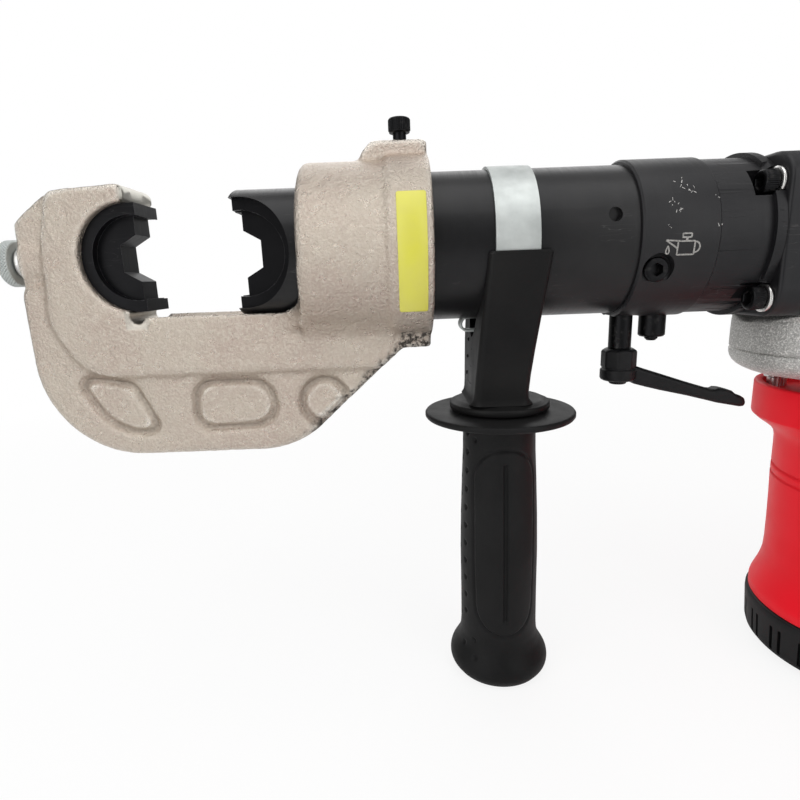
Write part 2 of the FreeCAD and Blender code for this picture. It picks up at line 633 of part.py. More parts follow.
def make_ram():
    """Hollow ram: front seat for the moving die, open bore at the rear, groove for the seal."""
    ram = cylinder_x(RAM_RADIUS, RAM_FRONT, RAM_REAR)
    ram = rounded_edges(ram, 2.5, on_plane("X", [RAM_FRONT]))
    seal = RAM_REAR - SEAL_INSET
    return ram.cut([
        cylinder_y(DIE_RADIUS, -RAM_RADIUS - 1, RAM_RADIUS + 1, MOVING_FLAT),
        block(RAM_FRONT - 1, MOVING_FLAT, -RAM_RADIUS - 1, RAM_RADIUS + 1, -DIE_RADIUS, DIE_RADIUS),
        cylinder_x(RAM_BORE_RADIUS, MOVING_FLAT + DIE_RADIUS + RAM_WEB, RAM_REAR + 1),
        ring_x(RAM_RADIUS + 1, RAM_RADIUS - SEAL_DEPTH, seal, seal + SEAL_WIDTH),
    ])


def make_piston_seal():
    """Seal ring in the groove near the ram's rear end."""
    seal = RAM_REAR - SEAL_INSET
    return ring_x(RAM_RADIUS, RAM_RADIUS - SEAL_DEPTH, seal, seal + SEAL_WIDTH)


def make_return_spring():
    """Tension spring that draws the ram back, from the ram's bore to the pump body's nose."""
    front = MOVING_FLAT + DIE_RADIUS + RAM_WEB
    return ring_x(SPRING_RADIUS, SPRING_RADIUS - SPRING_WIRE, front, TUBE_REAR - PUMP_NOSE)


def make_cylinder_tube():
    """Cylinder tube with the groove for the head's lock screw and the spanner hole."""
    tube = ring_x(TUBE_RADIUS, TUBE_BORE, TUBE_FRONT, TUBE_REAR)
    width = M6[0] + SEAT
    groove = ring_x(TUBE_RADIUS + 1, TUBE_RADIUS - LOCK_GROOVE_DEPTH, LOCK_SCREW_X - width, LOCK_SCREW_X + width)
    hole = cylinder_y(SPANNER_HOLE_RADIUS, -TUBE_RADIUS - 1, -TUBE_RADIUS + SPANNER_HOLE_DEPTH + 1,
                      SPANNER_HOLE_X, SPANNER_HOLE_Z)
    return tube.cut([groove, hole])


def make_lock_screw():
    """Screw that keeps the head on the tube. Its tip runs in the tube's groove."""
    top = BOSS_HEIGHT + 4.2
    length = top - (TUBE_RADIUS - LOCK_GROOVE_DEPTH + SEAT)
    return socket_screw(M6, length, Vector(LOCK_SCREW_X, 0, top), Vector(0, 0, -1))


def make_pump_body():
    """Pump body between the tube and the flange, with its bores and the scallops for the screws."""
    step = TUBE_REAR + PUMP_STEP
    ring = TUBE_REAR + PUMP_LENGTH
    body = cylinder_x(PUMP_RADIUS, TUBE_REAR, step)
    body = body.makeChamfer(0.8, edges_where(body, on_plane("X", [TUBE_REAR, step])))
    body = body.fuse([
        cylinder_x(PUMP_REAR_RADIUS, step - 1, ring + 1),
        cylinder_x(TUBE_BORE - RUNNING, TUBE_REAR - PUMP_NOSE, TUBE_REAR + 1),
        cylinder_x(FLANGE_RING_RADIUS, ring, PUMP_REAR),
    ]).removeSplitter()
    cutters = [
        cylinder_z(RELEASE_CORE_RADIUS + RUNNING, -PUMP_RADIUS - 1, -PUMP_RADIUS + RELEASE_INSERT, RELEASE_X),
        cylinder_z(SAFETY_RADIUS - 1.5, -PUMP_RADIUS - 1, -PUMP_RADIUS + 12, SAFETY_X),
        cylinder_z(LEVER_HUB_RADIUS, -PUMP_RADIUS - 1, -PUMP_RADIUS + 1, RELEASE_X),
        cylinder_z(SAFETY_RADIUS, -PUMP_RADIUS - 1, -PUMP_RADIUS + 1, SAFETY_X),
        cylinder_y(PLUG_RECESS_RADIUS, -PUMP_RADIUS, -plug_floor(), PLUG_X, PLUG_Z),
        cylinder_y(PLUG_RADIUS, -PUMP_RADIUS, -plug_floor() + 8, PLUG_X, PLUG_Z),
        cylinder_x(PLUNGER_RADIUS + RUNNING, PUMP_REAR - PLUNGER_REACH - 6, PUMP_REAR + 1),
        cylinder_x(1.5, TUBE_REAR - PUMP_NOSE - 1, PUMP_REAR - PLUNGER_REACH),
    ]
    for y, z in flange_places():
        cutters.append(cylinder_x(M6[1] + 1.4, step + 4, ring, y, z))
        cutters.append(cylinder_x(M6[1] + 1.4, ring - 1, PUMP_REAR + 1, y, z))
    return body.cut(cutters)


def plug_floor():
    """Depth along y of the flat on which the oil plug seats."""
    return math.sqrt(PUMP_RADIUS ** 2 - PLUG_Z ** 2) - PLUG_RECESS_DEPTH


def flange_places():
    """The four screws of the flange, as (y, z)."""
    wide = FLANGE_HALF - FLANGE_BOLT_INSET_Y
    high = FLANGE_HALF - FLANGE_BOLT_INSET_Z
    return [(y, z) for y in (-wide, wide) for z in (-high, high)]


def make_flange_block():
    """Square flange block between the pump body and the gear housing."""
    half = FLANGE_HALF
    plate = prism(rounded_rectangle(-half, half, -half, half, FLANGE_CORNER), "yz", PUMP_REAR, FLANGE_REAR)
    plate = plate.makeChamfer(0.8, edges_where(plate, on_plane("X", [PUMP_REAR, FLANGE_REAR])))
    holes = [cylinder_x(M6[0] + BOLT_PLAY, PUMP_REAR - 1, FLANGE_REAR + 1, y, z) for y, z in flange_places()]
    return plate.cut(holes + [cylinder_x(PLUNGER_RADIUS + SEAT, PUMP_REAR - 1, FLANGE_REAR + 1)])


def make_flange_screw(y, z):
    """One socket screw of the flange."""
    seat = PUMP_REAR - WASHER_THICKNESS
    return socket_screw(M6, FLANGE_THICKNESS + WASHER_THICKNESS + 12, Vector(seat, y, z), Vector(1, 0, 0))


def make_flange_washers():
    """The four washers under the flange screws."""
    washers = []
    for y, z in flange_places():
        disc = cylinder_x(M6[1] + 1.1, PUMP_REAR - WASHER_THICKNESS, PUMP_REAR, y, z)
        washers.append(disc.cut(cylinder_x(M6[0] + BOLT_PLAY, PUMP_REAR - 3, PUMP_REAR + 1, y, z)))
    return Part.makeCompound(washers)


def make_oil_plug():
    """Hexagon socket plug of the oil filling hole."""
    floor = -plug_floor()
    plug = cylinder_y(PLUG_RADIUS, floor - 1.6, floor + 7, PLUG_X, PLUG_Z)
    plug = bevelled_edges(plug, 0.5, on_plane("Y", [floor - 1.6]))
    return plug.cut(hex_prism(5.0, "y", floor - 2, floor + 1.5, PLUG_X, PLUG_Z))


def make_safety_valve():
    """Cap of the safety valve, with its domed adjuster."""
    top = -PUMP_RADIUS + 1
    cap = cylinder_z(SAFETY_RADIUS, -SAFETY_DROP, top, SAFETY_X)
    cap = bevelled_edges(cap, 0.8, on_plane("Z", [-SAFETY_DROP]))
    dome = cylinder_z(3.0, -SAFETY_DROP - 2, -SAFETY_DROP + 1, SAFETY_X)
    dome = bevelled_edges(dome, 1.0, on_plane("Z", [-SAFETY_DROP - 2]))
    return cap.fuse([dome, cylinder_z(SAFETY_RADIUS - 1.5, top - 1, top + 10, SAFETY_X)])


def make_release_spindle():
    """Release valve spindle with its sleeve and the toothed end that the lever sits on."""
    shoulder = -PUMP_RADIUS + 1
    foot = -RELEASE_STEM_DROP - LEVER_BORE_LENGTH
    spindle = cylinder_z(RELEASE_STEM_RADIUS, -RELEASE_STEM_DROP, shoulder - SEAT, RELEASE_X)
    spindle = spindle.fuse(cylinder_z(RELEASE_CORE_RADIUS, foot, -PUMP_RADIUS + RELEASE_INSERT - SEAT, RELEASE_X))
    return spindle.cut(cylinder_z(M5[0], foot - 1, foot + 12, RELEASE_X))


def make_lever_screw():
    """Screw that keeps the lever on the spindle."""
    foot = -RELEASE_STEM_DROP - LEVER_BORE_LENGTH
    at = Vector(RELEASE_X, 0, foot - 7)
    screw = socket_screw(M5, 19, at, Vector(0, 0, 1))
    return screw


def make_lever_spring():
    """Spring that holds the lever up on the spindle's teeth."""
    top = -RELEASE_STEM_DROP - LEVER_GAP - LEVER_BORE_LENGTH
    foot = -RELEASE_STEM_DROP - LEVER_BORE_LENGTH - 7
    return ring_z(M5[1], M5[0] + 0.6, foot, top, RELEASE_X)


def make_release_lever():
    """Clamping lever: fluted hub and an arm that widens towards its end."""
    top = -RELEASE_STEM_DROP - LEVER_GAP
    hub = cylinder_z(LEVER_HUB_RADIUS, top - LEVER_HUB_LENGTH, top, RELEASE_X)
    hub = bevelled_edges(hub, 1.0, on_plane("Z", [top, top - LEVER_HUB_LENGTH]))
    arm = slab([
        (RELEASE_X - 2, top - 2.5, 0),
        (RELEASE_X + 12, top - 4, 8),
        (RELEASE_X + LEVER_REACH - 12, -LEVER_TIP_DROP + 12.5, 8),
        (RELEASE_X + LEVER_REACH, -LEVER_TIP_DROP + 9, 2),
        (RELEASE_X + LEVER_REACH, -LEVER_TIP_DROP, 3),
        (RELEASE_X + LEVER_REACH - 12, -LEVER_TIP_DROP + 1, 10),
        (RELEASE_X + 14, top - LEVER_HUB_LENGTH + 1.5, 10),
        (RELEASE_X - 2, top - LEVER_HUB_LENGTH + 2, 0),
    ], 10)
    arm = bevelled_edges(arm, 1.8, on_plane("Y", [-5, 5]))
    return hub.fuse(arm).removeSplitter().cut([
        cylinder_z(RELEASE_CORE_RADIUS + RUNNING, top - LEVER_BORE_LENGTH, top + 1, RELEASE_X),
        cylinder_z(LEVER_COUNTERBORE, top - LEVER_HUB_LENGTH - 1, top - LEVER_BORE_LENGTH, RELEASE_X),
    ])


def make_clamp_band():
    """Steel band round the tube, with the two ends that the yoke's bolt pulls down."""
    band = ring_x(BAND_OUTER, BAND_INNER, BAND_X - BAND_WIDTH / 2, BAND_X + BAND_WIDTH / 2)
    return band.fuse(make_clamp_ends()).removeSplitter()


def make_clamp_ends():
    """The band's strap below the tube, with a hole for the bolt."""
    half = BAND_WIDTH / 2
    foot = -BAND_OUTER - STRAP_HEIGHT
    strap = block(BAND_X - half, BAND_X + half, -STRAP_HALF_WIDTH, STRAP_HALF_WIDTH, foot,
                  -BAND_INNER - BAND_THICKNESS / 2)
    return strap.cut(cylinder_z(CLAMP_BOLT_RADIUS, foot - 1, foot + STRAP_HEIGHT - BAND_THICKNESS, HANDLE_X))


def make_yoke():
    """Plastic yoke: a saddle under the tube that leans a little and narrows to the round foot."""
    half = YOKE_WIDTH / 2
    top = -YOKE_TOP_DROP
    low = -YOKE_FOOT_DROP - 1
    front = min(YOKE_TOP_X, YOKE_FOOT_X) - half - 1
    rear = max(YOKE_TOP_X, YOKE_FOOT_X) + half + 1
    across = prism([
        (-YOKE_HALF_TOP, top, 0.8), (-YOKE_HALF_FOOT, low, 0), (YOKE_HALF_FOOT, low, 0), (YOKE_HALF_TOP, top, 0.8),
    ], "yz", front, rear)
    along = slab([
        (YOKE_TOP_X - half, top, 1.5), (YOKE_TOP_X + half, top, 1.5), (YOKE_FOOT_X + half, low, 0),
        (YOKE_FOOT_X - half, low, 0),
    ], 2 * YOKE_HALF_TOP + 2)
    body = across.common(along)
    foot = cylinder_z(YOKE_FOOT_RADIUS, -GUARD_DROP + SEAT, -YOKE_FOOT_DROP, HANDLE_X)
    foot = bevelled_edges(foot, 0.8, on_plane("Z", [-YOKE_FOOT_DROP]))
    slot_half = BAND_WIDTH / 2 + SEAT
    notch = prism([(-13, -30, 0), (13, -30, 0), (0, -45, 5)], "yz", front, rear)
    strap_foot = -BAND_OUTER - STRAP_HEIGHT - SEAT
    return body.fuse(foot).cut([
        cylinder_x(TUBE_RADIUS + SEAT, front, rear),
        cylinder_x(BAND_OUTER, BAND_X - slot_half, BAND_X + slot_half),
        block(BAND_X - slot_half, BAND_X + slot_half, -STRAP_HALF_WIDTH - 1, STRAP_HALF_WIDTH + 1, strap_foot,
              -TUBE_RADIUS + 3),
        cylinder_z(CLAMP_BOLT_RADIUS + BOLT_PLAY, -GUARD_DROP - 1, -TUBE_RADIUS + 3, HANDLE_X),
        notch,
    ])


def make_clamp_bolt():
    """Bolt from the band's strap down into the grip's nut."""
    return cylinder_z(CLAMP_BOLT_RADIUS, -GUARD_DROP - CLAMP_BOLT_DEPTH, -BAND_OUTER - BAND_THICKNESS, HANDLE_X)


def make_grip_nut():
    """Long hexagonal nut moulded into the grip."""
    top = -GUARD_DROP - GRIP_NUT_COVER
    nut = hex_prism(GRIP_NUT_ACROSS, "z", top - GRIP_NUT_LENGTH, top, HANDLE_X)
    return nut.cut(cylinder_z(CLAMP_BOLT_RADIUS + RUNNING, top - GRIP_NUT_LENGTH - 1, top + 1, HANDLE_X))


def make_side_grip():
    """Rubber grip: guard disc, waisted handle and flared pommel, turned about the bolt's axis."""
    top = -GUARD_DROP
    neck = top - GUARD_THICKNESS
    flare = POMMEL_HEIGHT - STAND_DROP
    swell = neck - (neck - flare) * 0.5
    profile = [
        (top, 0), (top, GUARD_RADIUS - 1.2), (top - 1.2, GUARD_RADIUS), (neck + 1.2, GUARD_RADIUS),
        (neck, GUARD_RADIUS - 1.2), (neck, GRIP_NECK_RADIUS + 3), (neck - 3, GRIP_NECK_RADIUS),
        (neck - 23, GRIP_NECK_RADIUS + 1), (swell + 12, GRIP_RADIUS - 0.5), (swell - 10, GRIP_RADIUS),
        (flare, GRIP_RADIUS), (flare - 7, GRIP_RADIUS + 0.7), (flare - 13, GRIP_RADIUS + 3.4),
        (flare - 17, POMMEL_RADIUS - 0.5), (flare - 20, POMMEL_RADIUS), (flare - 22.5, POMMEL_RADIUS - 0.6),
        (-STAND_DROP, POMMEL_RADIUS - 4), (-STAND_DROP, 0),
    ]
    grip = turned(profile, Vector(HANDLE_X, 0, 0), "z")
    nut_top = top - GRIP_NUT_COVER
    nut_foot = nut_top - GRIP_NUT_LENGTH
    return grip.cut([
        cylinder_z(CLAMP_BOLT_RADIUS + SEAT, nut_foot, top + 1, HANDLE_X),
        hex_prism(GRIP_NUT_ACROSS, "z", nut_foot, nut_top, HANDLE_X),
        cylinder_z(CLAMP_BOLT_RADIUS + 1, -GUARD_DROP - CLAMP_BOLT_DEPTH - 4, nut_foot + 1, HANDLE_X),
    ])


def drum_outline(inset):
    """Plan outline of the gear housing's lower drum, made smaller by the inset."""
    half = DRUM_RADIUS - inset
    rear = MOTOR_X + 30 - inset
    return rounded_rectangle(CRANK_X - half, rear, -half, half, half - 1)


def make_gear_housing():
    """Cast housing: square upper part round the crank's yoke and the drum round the gears."""
    half = FLANGE_HALF + 1
    upper = prism(rounded_rectangle(-half, half, -45, FLANGE_HALF, FLANGE_CORNER), "yz", FLANGE_REAR, HOUSING_REAR)
    upper = rounded_edges(upper, 2, on_plane("X", [FLANGE_REAR, HOUSING_REAR]))
    drum = prism(drum_outline(0), "xy", COVER_TOP, -FLANGE_HALF - 1)
    housing = upper.fuse(drum).removeSplitter()
    web = GEAR_TOP + 1.5
    cutters = [
        prism(drum_outline(HOUSING_WALL), "xy", COVER_TOP - 1, web),
        block(FLANGE_REAR + 6, CRANK_X + CRANK_BAY_HALF, -CRANK_BAY_HALF, CRANK_BAY_HALF,
              web + BEARING_WIDTH + 1.5, FLANGE_HALF + 1),
        cylinder_z(BEARING_RADIUS, web - 1, web + BEARING_WIDTH, CRANK_X),
        cylinder_z(BEARING_RADIUS - 3, web, web + BEARING_WIDTH + 3, CRANK_X),
        cylinder_x(PLUNGER_RADIUS + SEAT, FLANGE_REAR - 1, FLANGE_REAR + 8),
    ]
    for y, z in flange_places():
        cutters.append(cylinder_x(M6[0], FLANGE_REAR - 1, FLANGE_REAR + 12, y, z))
    return housing.cut(cutters)


def make_gear_top_cover():
    """Dark cover plate on top of the gear housing."""
    half = FLANGE_HALF - FLANGE_CORNER + 4
    cover = prism(rounded_rectangle(FLANGE_REAR + 1, HOUSING_REAR - 3, -half, half, 6), "xy",
                  FLANGE_HALF, FLANGE_HALF + TOP_COVER_HEIGHT)
    return cover.makeChamfer(0.9, edges_where(cover, on_plane("Z", [FLANGE_HALF + TOP_COVER_HEIGHT])))


def make_gear_cover():
    """Lower cover of the gear drum, bevelled, with the lower crank bearing's seat and the motor's register."""
    cover = prism(drum_outline(0), "xy", COVER_BOTTOM, COVER_TOP)
    cover = cover.makeChamfer(8, edges_where(cover, on_plane("Z", [COVER_BOTTOM])))
    cover = cover.fuse(cylinder_z(30, MOTOR_TOP, COVER_BOTTOM + 1, MOTOR_X))
    return cover.cut([
        cylinder_z(BEARING_RADIUS, COVER_TOP - BEARING_WIDTH, COVER_TOP + 1, CRANK_X),
        cylinder_z(GEAR_MODULE * (PINION_TEETH / 2 + 1) + 0.5, MOTOR_TOP - 1, COVER_TOP + 1, MOTOR_X),
    ])


def gear(teeth, bottom, top, x, turn):
    """Spur gear about a vertical axis. Its straight-sided teeth stand on the root circle."""
    pitch = GEAR_MODULE * teeth / 2
    root = pitch - 1.25 * GEAR_MODULE
    tip = pitch + GEAR_MODULE
    step = 2 * math.pi / teeth
    corners = []
    for i in range(teeth):
        for part, radius in ((BACKLASH - 0.36, root), (BACKLASH - 0.13, tip), (0.13 - BACKLASH, tip),
                             (0.36 - BACKLASH, root)):
            angle = (i + part) * step + turn
            corners.append((x + radius * math.cos(angle), radius * math.sin(angle), 0))
    return prism(corners, "xy", bottom, top)


def make_crank_gear():
    """Large gear on the crankshaft."""
    body = gear(CRANK_TEETH, GEAR_BOTTOM, GEAR_TOP, CRANK_X, 0)
    return body.cut(cylinder_z(CRANK_JOURNAL_RADIUS, GEAR_BOTTOM - 1, GEAR_TOP + 1, CRANK_X))


def make_crankshaft():
    """Crankshaft: lower journal, gear seat, upper journal, crank disc and eccentric pin."""
    web = GEAR_TOP + 1.5
    disc = web + BEARING_WIDTH + 2.5
    shaft = cylinder_z(CRANK_JOURNAL_RADIUS, COVER_TOP - BEARING_WIDTH + 0.5, disc + 1, CRANK_X)
    return shaft.fuse([
        cylinder_z(CRANK_DISC_RADIUS, disc, -CRANK_PIN_HALF - 1, CRANK_X),
        cylinder_z(CRANK_PIN_RADIUS, -CRANK_PIN_HALF - 2, CRANK_PIN_HALF, CRANK_X, ECCENTRIC),
    ]).removeSplitter()


def make_bearing(bottom, x, outer, inner, width):
    """Plain bearing ring about a vertical axis."""
    return ring_z(outer, inner + RUNNING, bottom, bottom + width, x)


def make_plunger():
    """Pump plunger with the yoke whose window the crank pin turns in."""
    window = CRANK_PIN_RADIUS + ECCENTRIC + SEAT
    outer = window + PLUNGER_YOKE_WALL
    high = PLUNGER_YOKE_HALF
    body = cylinder_x(PLUNGER_RADIUS, PUMP_REAR - PLUNGER_REACH, CRANK_X - window - 5)
    yoke = prism(rounded_rectangle(CRANK_X - outer - 1, CRANK_X + outer, -outer, outer, 4), "xy", -high, high)
    return body.fuse(yoke).cut(block(CRANK_X - window, CRANK_X + window, -window, window, -high - 1, high + 1))


def motor_sections():
    """The motor housing's outlines from the top down: height, growth at the front, rear and sides."""
    reach, inset, side = MOTOR_COLLAR_REACH, -MOTOR_COLLAR_INSET, MOTOR_COLLAR_SIDE
    foot = MOTOR_TOP - MOTOR_COLLAR_HEIGHT
    return [
        (MOTOR_TOP, reach - 2, inset - 0.5, side - 1.5),
        (MOTOR_TOP - 2, reach, inset, side),
        (foot, reach, inset, side),
        (foot - 9, 1.5, -1.0, side / 4),
        (foot - 19, 0.0, 0.0, 0.0),
        (CAP_TOP + 14, 0.0, 0.0, 0.0),
        (CAP_TOP + 5, MOTOR_FLARE, 1.0, MOTOR_FLARE),
        (CAP_TOP, MOTOR_FLARE, 1.0, MOTOR_FLARE),
    ]


def motor_outline(front, rear, side):
    """Plan outline of the motor housing, grown at its front, rear and sides."""
    half = MOTOR_HALF_WIDTH + side
    corner = MOTOR_CORNER + side
    return rounded_rectangle(MOTOR_X - MOTOR_HALF_LENGTH - front, MOTOR_REAR + rear, -half, half, corner)


def outline_wire(corners, height):
    """Closed horizontal wire of a rounded outline."""
    edge_face = prism(corners, "xy", height, height + 1)
    for face in edge_face.Faces:
        if abs(face.BoundBox.ZMax - height) < 1e-6:
            return face.OuterWire
    return None


def make_motor_housing():
    """Red motor housing: wide collar, waist with two grooves and flared lip, open below."""
    wires = [outline_wire(motor_outline(front, rear, side), z) for z, front, rear, side in motor_sections()]
    housing = Part.makeLoft(wires, True, True)
    inner = motor_outline(-MOTOR_WALL, -MOTOR_WALL, -MOTOR_WALL)
    cutters = [
        prism(inner, "xy", CAP_TOP - 1, MOTOR_TOP - 8),
        cylinder_z(10, MOTOR_TOP - 9, MOTOR_TOP + 1, MOTOR_X),
    ]
    for drop in MOTOR_GROOVES:
        z = MOTOR_TOP - drop
        skin = prism(motor_outline(1, 1, 1), "xy", z - 1.6, z)
        cutters.append(skin.cut(prism(motor_outline(-1, -1, -1), "xy", z - 3, z + 1)))
    return housing.cut(cutters)


def make_base_cap():
    """Black vented cap under the motor housing, with the lower bearing's seat."""
    lip = MOTOR_FLARE
    wires = [outline_wire(motor_outline(front, rear, side), z) for z, front, rear, side in (
        (CAP_TOP, lip, 1, lip), (CAP_BOTTOM + 7, lip - 1, 0.5, lip - 1), (CAP_BOTTOM, lip - 7, -5, lip - 7))]
    cap = Part.makeLoft(wires, True, True)
    cap = cap.cut(prism(motor_outline(-MOTOR_WALL, -MOTOR_WALL, -MOTOR_WALL), "xy", CAP_BOTTOM + 4, CAP_TOP + 1))
    cap = cap.fuse(cylinder_z(13, CAP_BOTTOM + 3, CAP_TOP - 2, MOTOR_X))
    cutters = [cylinder_z(9.5, CAP_TOP - 9, CAP_TOP, MOTOR_X)]
    foot = CAP_BOTTOM + 5
    half = VENT_WIDTH / 2
    reach = MOTOR_HALF_LENGTH + MOTOR_FLARE
    pairs = int((MOTOR_HALF_WIDTH - 6) / VENT_PITCH)
    for i in range(-pairs, pairs + 1):
        for pair in (-VENT_SPLIT / 2, VENT_SPLIT / 2):
            y = i * VENT_PITCH + pair
            if abs(y) < MOTOR_HALF_WIDTH - 10:
                cutters.append(block(MOTOR_X - reach - 6, MOTOR_X - 30, y - half, y + half, foot, foot + VENT_HEIGHT))
            x = MOTOR_X + y
            cutters.append(block(x - half, x + half, -reach - 6, reach + 6, foot, foot + VENT_HEIGHT))
    return cap.cut(cutters)


def stator_radius():
    """The stator fills the motor housing's width."""
    return MOTOR_HALF_WIDTH - MOTOR_WALL - SEAT


def make_stator():
    """Motor stator."""
    return ring_z(stator_radius(), ROTOR_RADIUS + 1, STATOR_BOTTOM, STATOR_TOP, MOTOR_X)


def make_rotor():
    """Motor rotor: core, shaft and pinion."""
    shaft_foot = CAP_TOP - 8.5
    shaft = cylinder_z(ROTOR_SHAFT_RADIUS, shaft_foot, GEAR_BOTTOM - 1, MOTOR_X)
    core = cylinder_z(ROTOR_RADIUS, STATOR_BOTTOM + 1, STATOR_TOP - 1, MOTOR_X)
    half_tooth = math.pi / PINION_TEETH
    pinion = gear(PINION_TEETH, GEAR_BOTTOM - 2, GEAR_TOP + 0.5, MOTOR_X, math.pi + half_tooth)
    return shaft.fuse([core, pinion]).removeSplitter()


def make_fan():
    """Cooling fan on the rotor's shaft."""
    foot = STATOR_TOP + FAN_RISE
    top = foot + FAN_HEIGHT
    disc = cylinder_z(FAN_RADIUS, top - 2, top, MOTOR_X).fuse(cylinder_z(FAN_HUB_RADIUS, foot, top, MOTOR_X))
    blades = []
    for i in range(FAN_BLADES):
        blade = block(MOTOR_X + FAN_HUB_RADIUS + 5, MOTOR_X + FAN_RADIUS - 1, -0.8, 0.8, foot + 1, top - 1)
        blade.rotate(Vector(MOTOR_X, 0, 0), Vector(0, 0, 1), 360 / FAN_BLADES * i)
        blades.append(blade)
    return disc.fuse(blades).cut(cylinder_z(ROTOR_SHAFT_RADIUS, foot - 1, top + 1, MOTOR_X))


def handle_corners():
    """Outline of the rear handle: upper arm, grip, lower arm and foot."""
    foot_bottom = BATTERY_TOP + RAIL_HEIGHT + 3
    return [
        (HOUSING_REAR, HANDLE_TOP, 0),
        (HANDLE_REAR - 14, HANDLE_TOP, 30),
        (HANDLE_REAR + 3, -35, 50),
        (HANDLE_REAR - 4, -112, 24),
        (FOOT_REAR, FOOT_TOP + 6, 6),
        (FOOT_REAR, foot_bottom, 3),
        (MOTOR_REAR, foot_bottom, 0),
        (MOTOR_REAR, FOOT_TOP + 28, 0),
        (HANDLE_GRIP_FRONT - 4, FOOT_TOP + 28, 12),
        (HANDLE_GRIP_FRONT + 4, -66, 60),
        (HANDLE_GRIP_FRONT - 2, -12, 16),
        (HOUSING_REAR, -12, 0),
    ]


def make_handle_shell(side):
    """One half of the hollow rear handle, with its share of the trigger's slot."""
    outer = slab(handle_corners(), 2 * HANDLE_HALF_WIDTH)
    outer = rounded_edges(outer, 7, handle_long_edge)
    face = None
    for candidate in slab(handle_corners(), 2).Faces:
        if abs(candidate.BoundBox.YMax + 1) < 1e-6:
            face = candidate
    core = face.makeOffset2D(-HANDLE_WALL)
    core.translate(Vector(0, HANDLE_WALL + 1 - HANDLE_HALF_WIDTH, 0))
    core = core.extrude(Vector(0, 2 * (HANDLE_HALF_WIDTH - HANDLE_WALL), 0))
    y0, y1 = sorted((0, side * 40))
    half = outer.cut(core).common(block(HOUSING_REAR - 1, HANDLE_REAR + 60, y0, y1, -300, 100))
    slot = TRIGGER_HALF_WIDTH + SEAT
    return half.cut(block(HANDLE_GRIP_FRONT - 12, HANDLE_GRIP_FRONT + 12, -slot, slot,
                          TRIGGER_BOTTOM - SEAT, TRIGGER_TOP + SEAT))


def handle_long_edge(middle, edge):
    """Picks the outer edges of the handle that a hand feels."""
    box = edge.BoundBox
    flat = abs(box.YMax - box.YMin) < 1e-4
    inside = box.XMin > HOUSING_REAR + 0.5 and box.ZMin > FOOT_TOP + 8
    return flat and inside and box.XMin > MOTOR_REAR + 0.5


def trigger_inner():
    """Where the trigger's retaining flange lies behind the handle's front wall."""
    return HANDLE_GRIP_FRONT + 4 + HANDLE_WALL


def make_trigger():
    """Trigger with a concave finger face and the flange that keeps it in the handle."""
    inner = trigger_inner()
    front = HANDLE_GRIP_FRONT - 8
    middle = (TRIGGER_TOP + TRIGGER_BOTTOM) / 2
    body = slab([
        (front + 1, TRIGGER_TOP, 3),
        (front + 4, middle + 4, 18),
        (front, TRIGGER_BOTTOM, 3),
        (inner + 3, TRIGGER_BOTTOM, 0),
        (inner + 3, TRIGGER_TOP, 0),
    ], 2 * TRIGGER_HALF_WIDTH)
    body = bevelled_edges(body, 1.6, lambda p, e: p.x < HANDLE_GRIP_FRONT - 2
                          and abs(abs(p.y) - TRIGGER_HALF_WIDTH) < 1e-3)
    flange = block(inner + SEAT, inner + 3, -TRIGGER_HALF_WIDTH - 2, TRIGGER_HALF_WIDTH + 2,
                   TRIGGER_BOTTOM - 3, TRIGGER_TOP + 3)
    return body.fuse(flange).removeSplitter()


def make_trigger_spring():
    """Spring between the trigger and the switch."""
    start = trigger_inner() + 3
    spring = ring_x(4, 2.6, start, start + TRIGGER_TRAVEL + SWITCH_GAP)
    spring.translate(Vector(0, 0, (TRIGGER_TOP + TRIGGER_BOTTOM) / 2))
    return spring


def make_switch():
    """Switch module inside the handle, behind the trigger's spring."""
    start = trigger_inner() + 3 + TRIGGER_TRAVEL + SWITCH_GAP
    wide = HANDLE_HALF_WIDTH - HANDLE_WALL
    return block(start, start + SWITCH_LENGTH, -wide, wide, TRIGGER_BOTTOM - 6, TRIGGER_TOP + 6)


def make_control_board():
    """Control board in the handle's foot."""
    wide = HANDLE_HALF_WIDTH - HANDLE_WALL
    low = BATTERY_TOP + RAIL_HEIGHT + 3 + HANDLE_WALL
    front = MOTOR_REAR + BATTERY_GAP - HANDLE_WALL
    return block(front, front + BOARD_LENGTH, -wide, wide, low, low + BOARD_THICKNESS)


def rail_section(grow):
    """Half T section of the battery's rail in the yz plane, grown all round."""
    wide = RAIL_HALF_WIDTH + grow
    neck = wide - RAIL_LIP
    top = BATTERY_TOP + RAIL_HEIGHT + (grow if grow > 0 else 0)
    step = BATTERY_TOP + 4 - grow
    return [(-neck, BATTERY_TOP - 1, 0), (neck, BATTERY_TOP - 1, 0), (neck, step, 0), (wide, step, 0),
            (wide, top, 0), (-wide, top, 0), (-wide, step, 0), (-neck, step, 0)]


def make_battery_foot():
    """Foot under the handle with the channel for the battery's rail."""
    top = BATTERY_TOP + RAIL_HEIGHT + 3
    half = BATTERY_HALF_WIDTH - 3
    foot = prism(rounded_rectangle(BATTERY_FRONT, FOOT_REAR, -half, half, 5), "xy", BATTERY_TOP + SEAT, top)
    channel = prism(rail_section(SEAT), "yz", BATTERY_FRONT + 4, FOOT_REAR + 1)
    return foot.cut(channel)


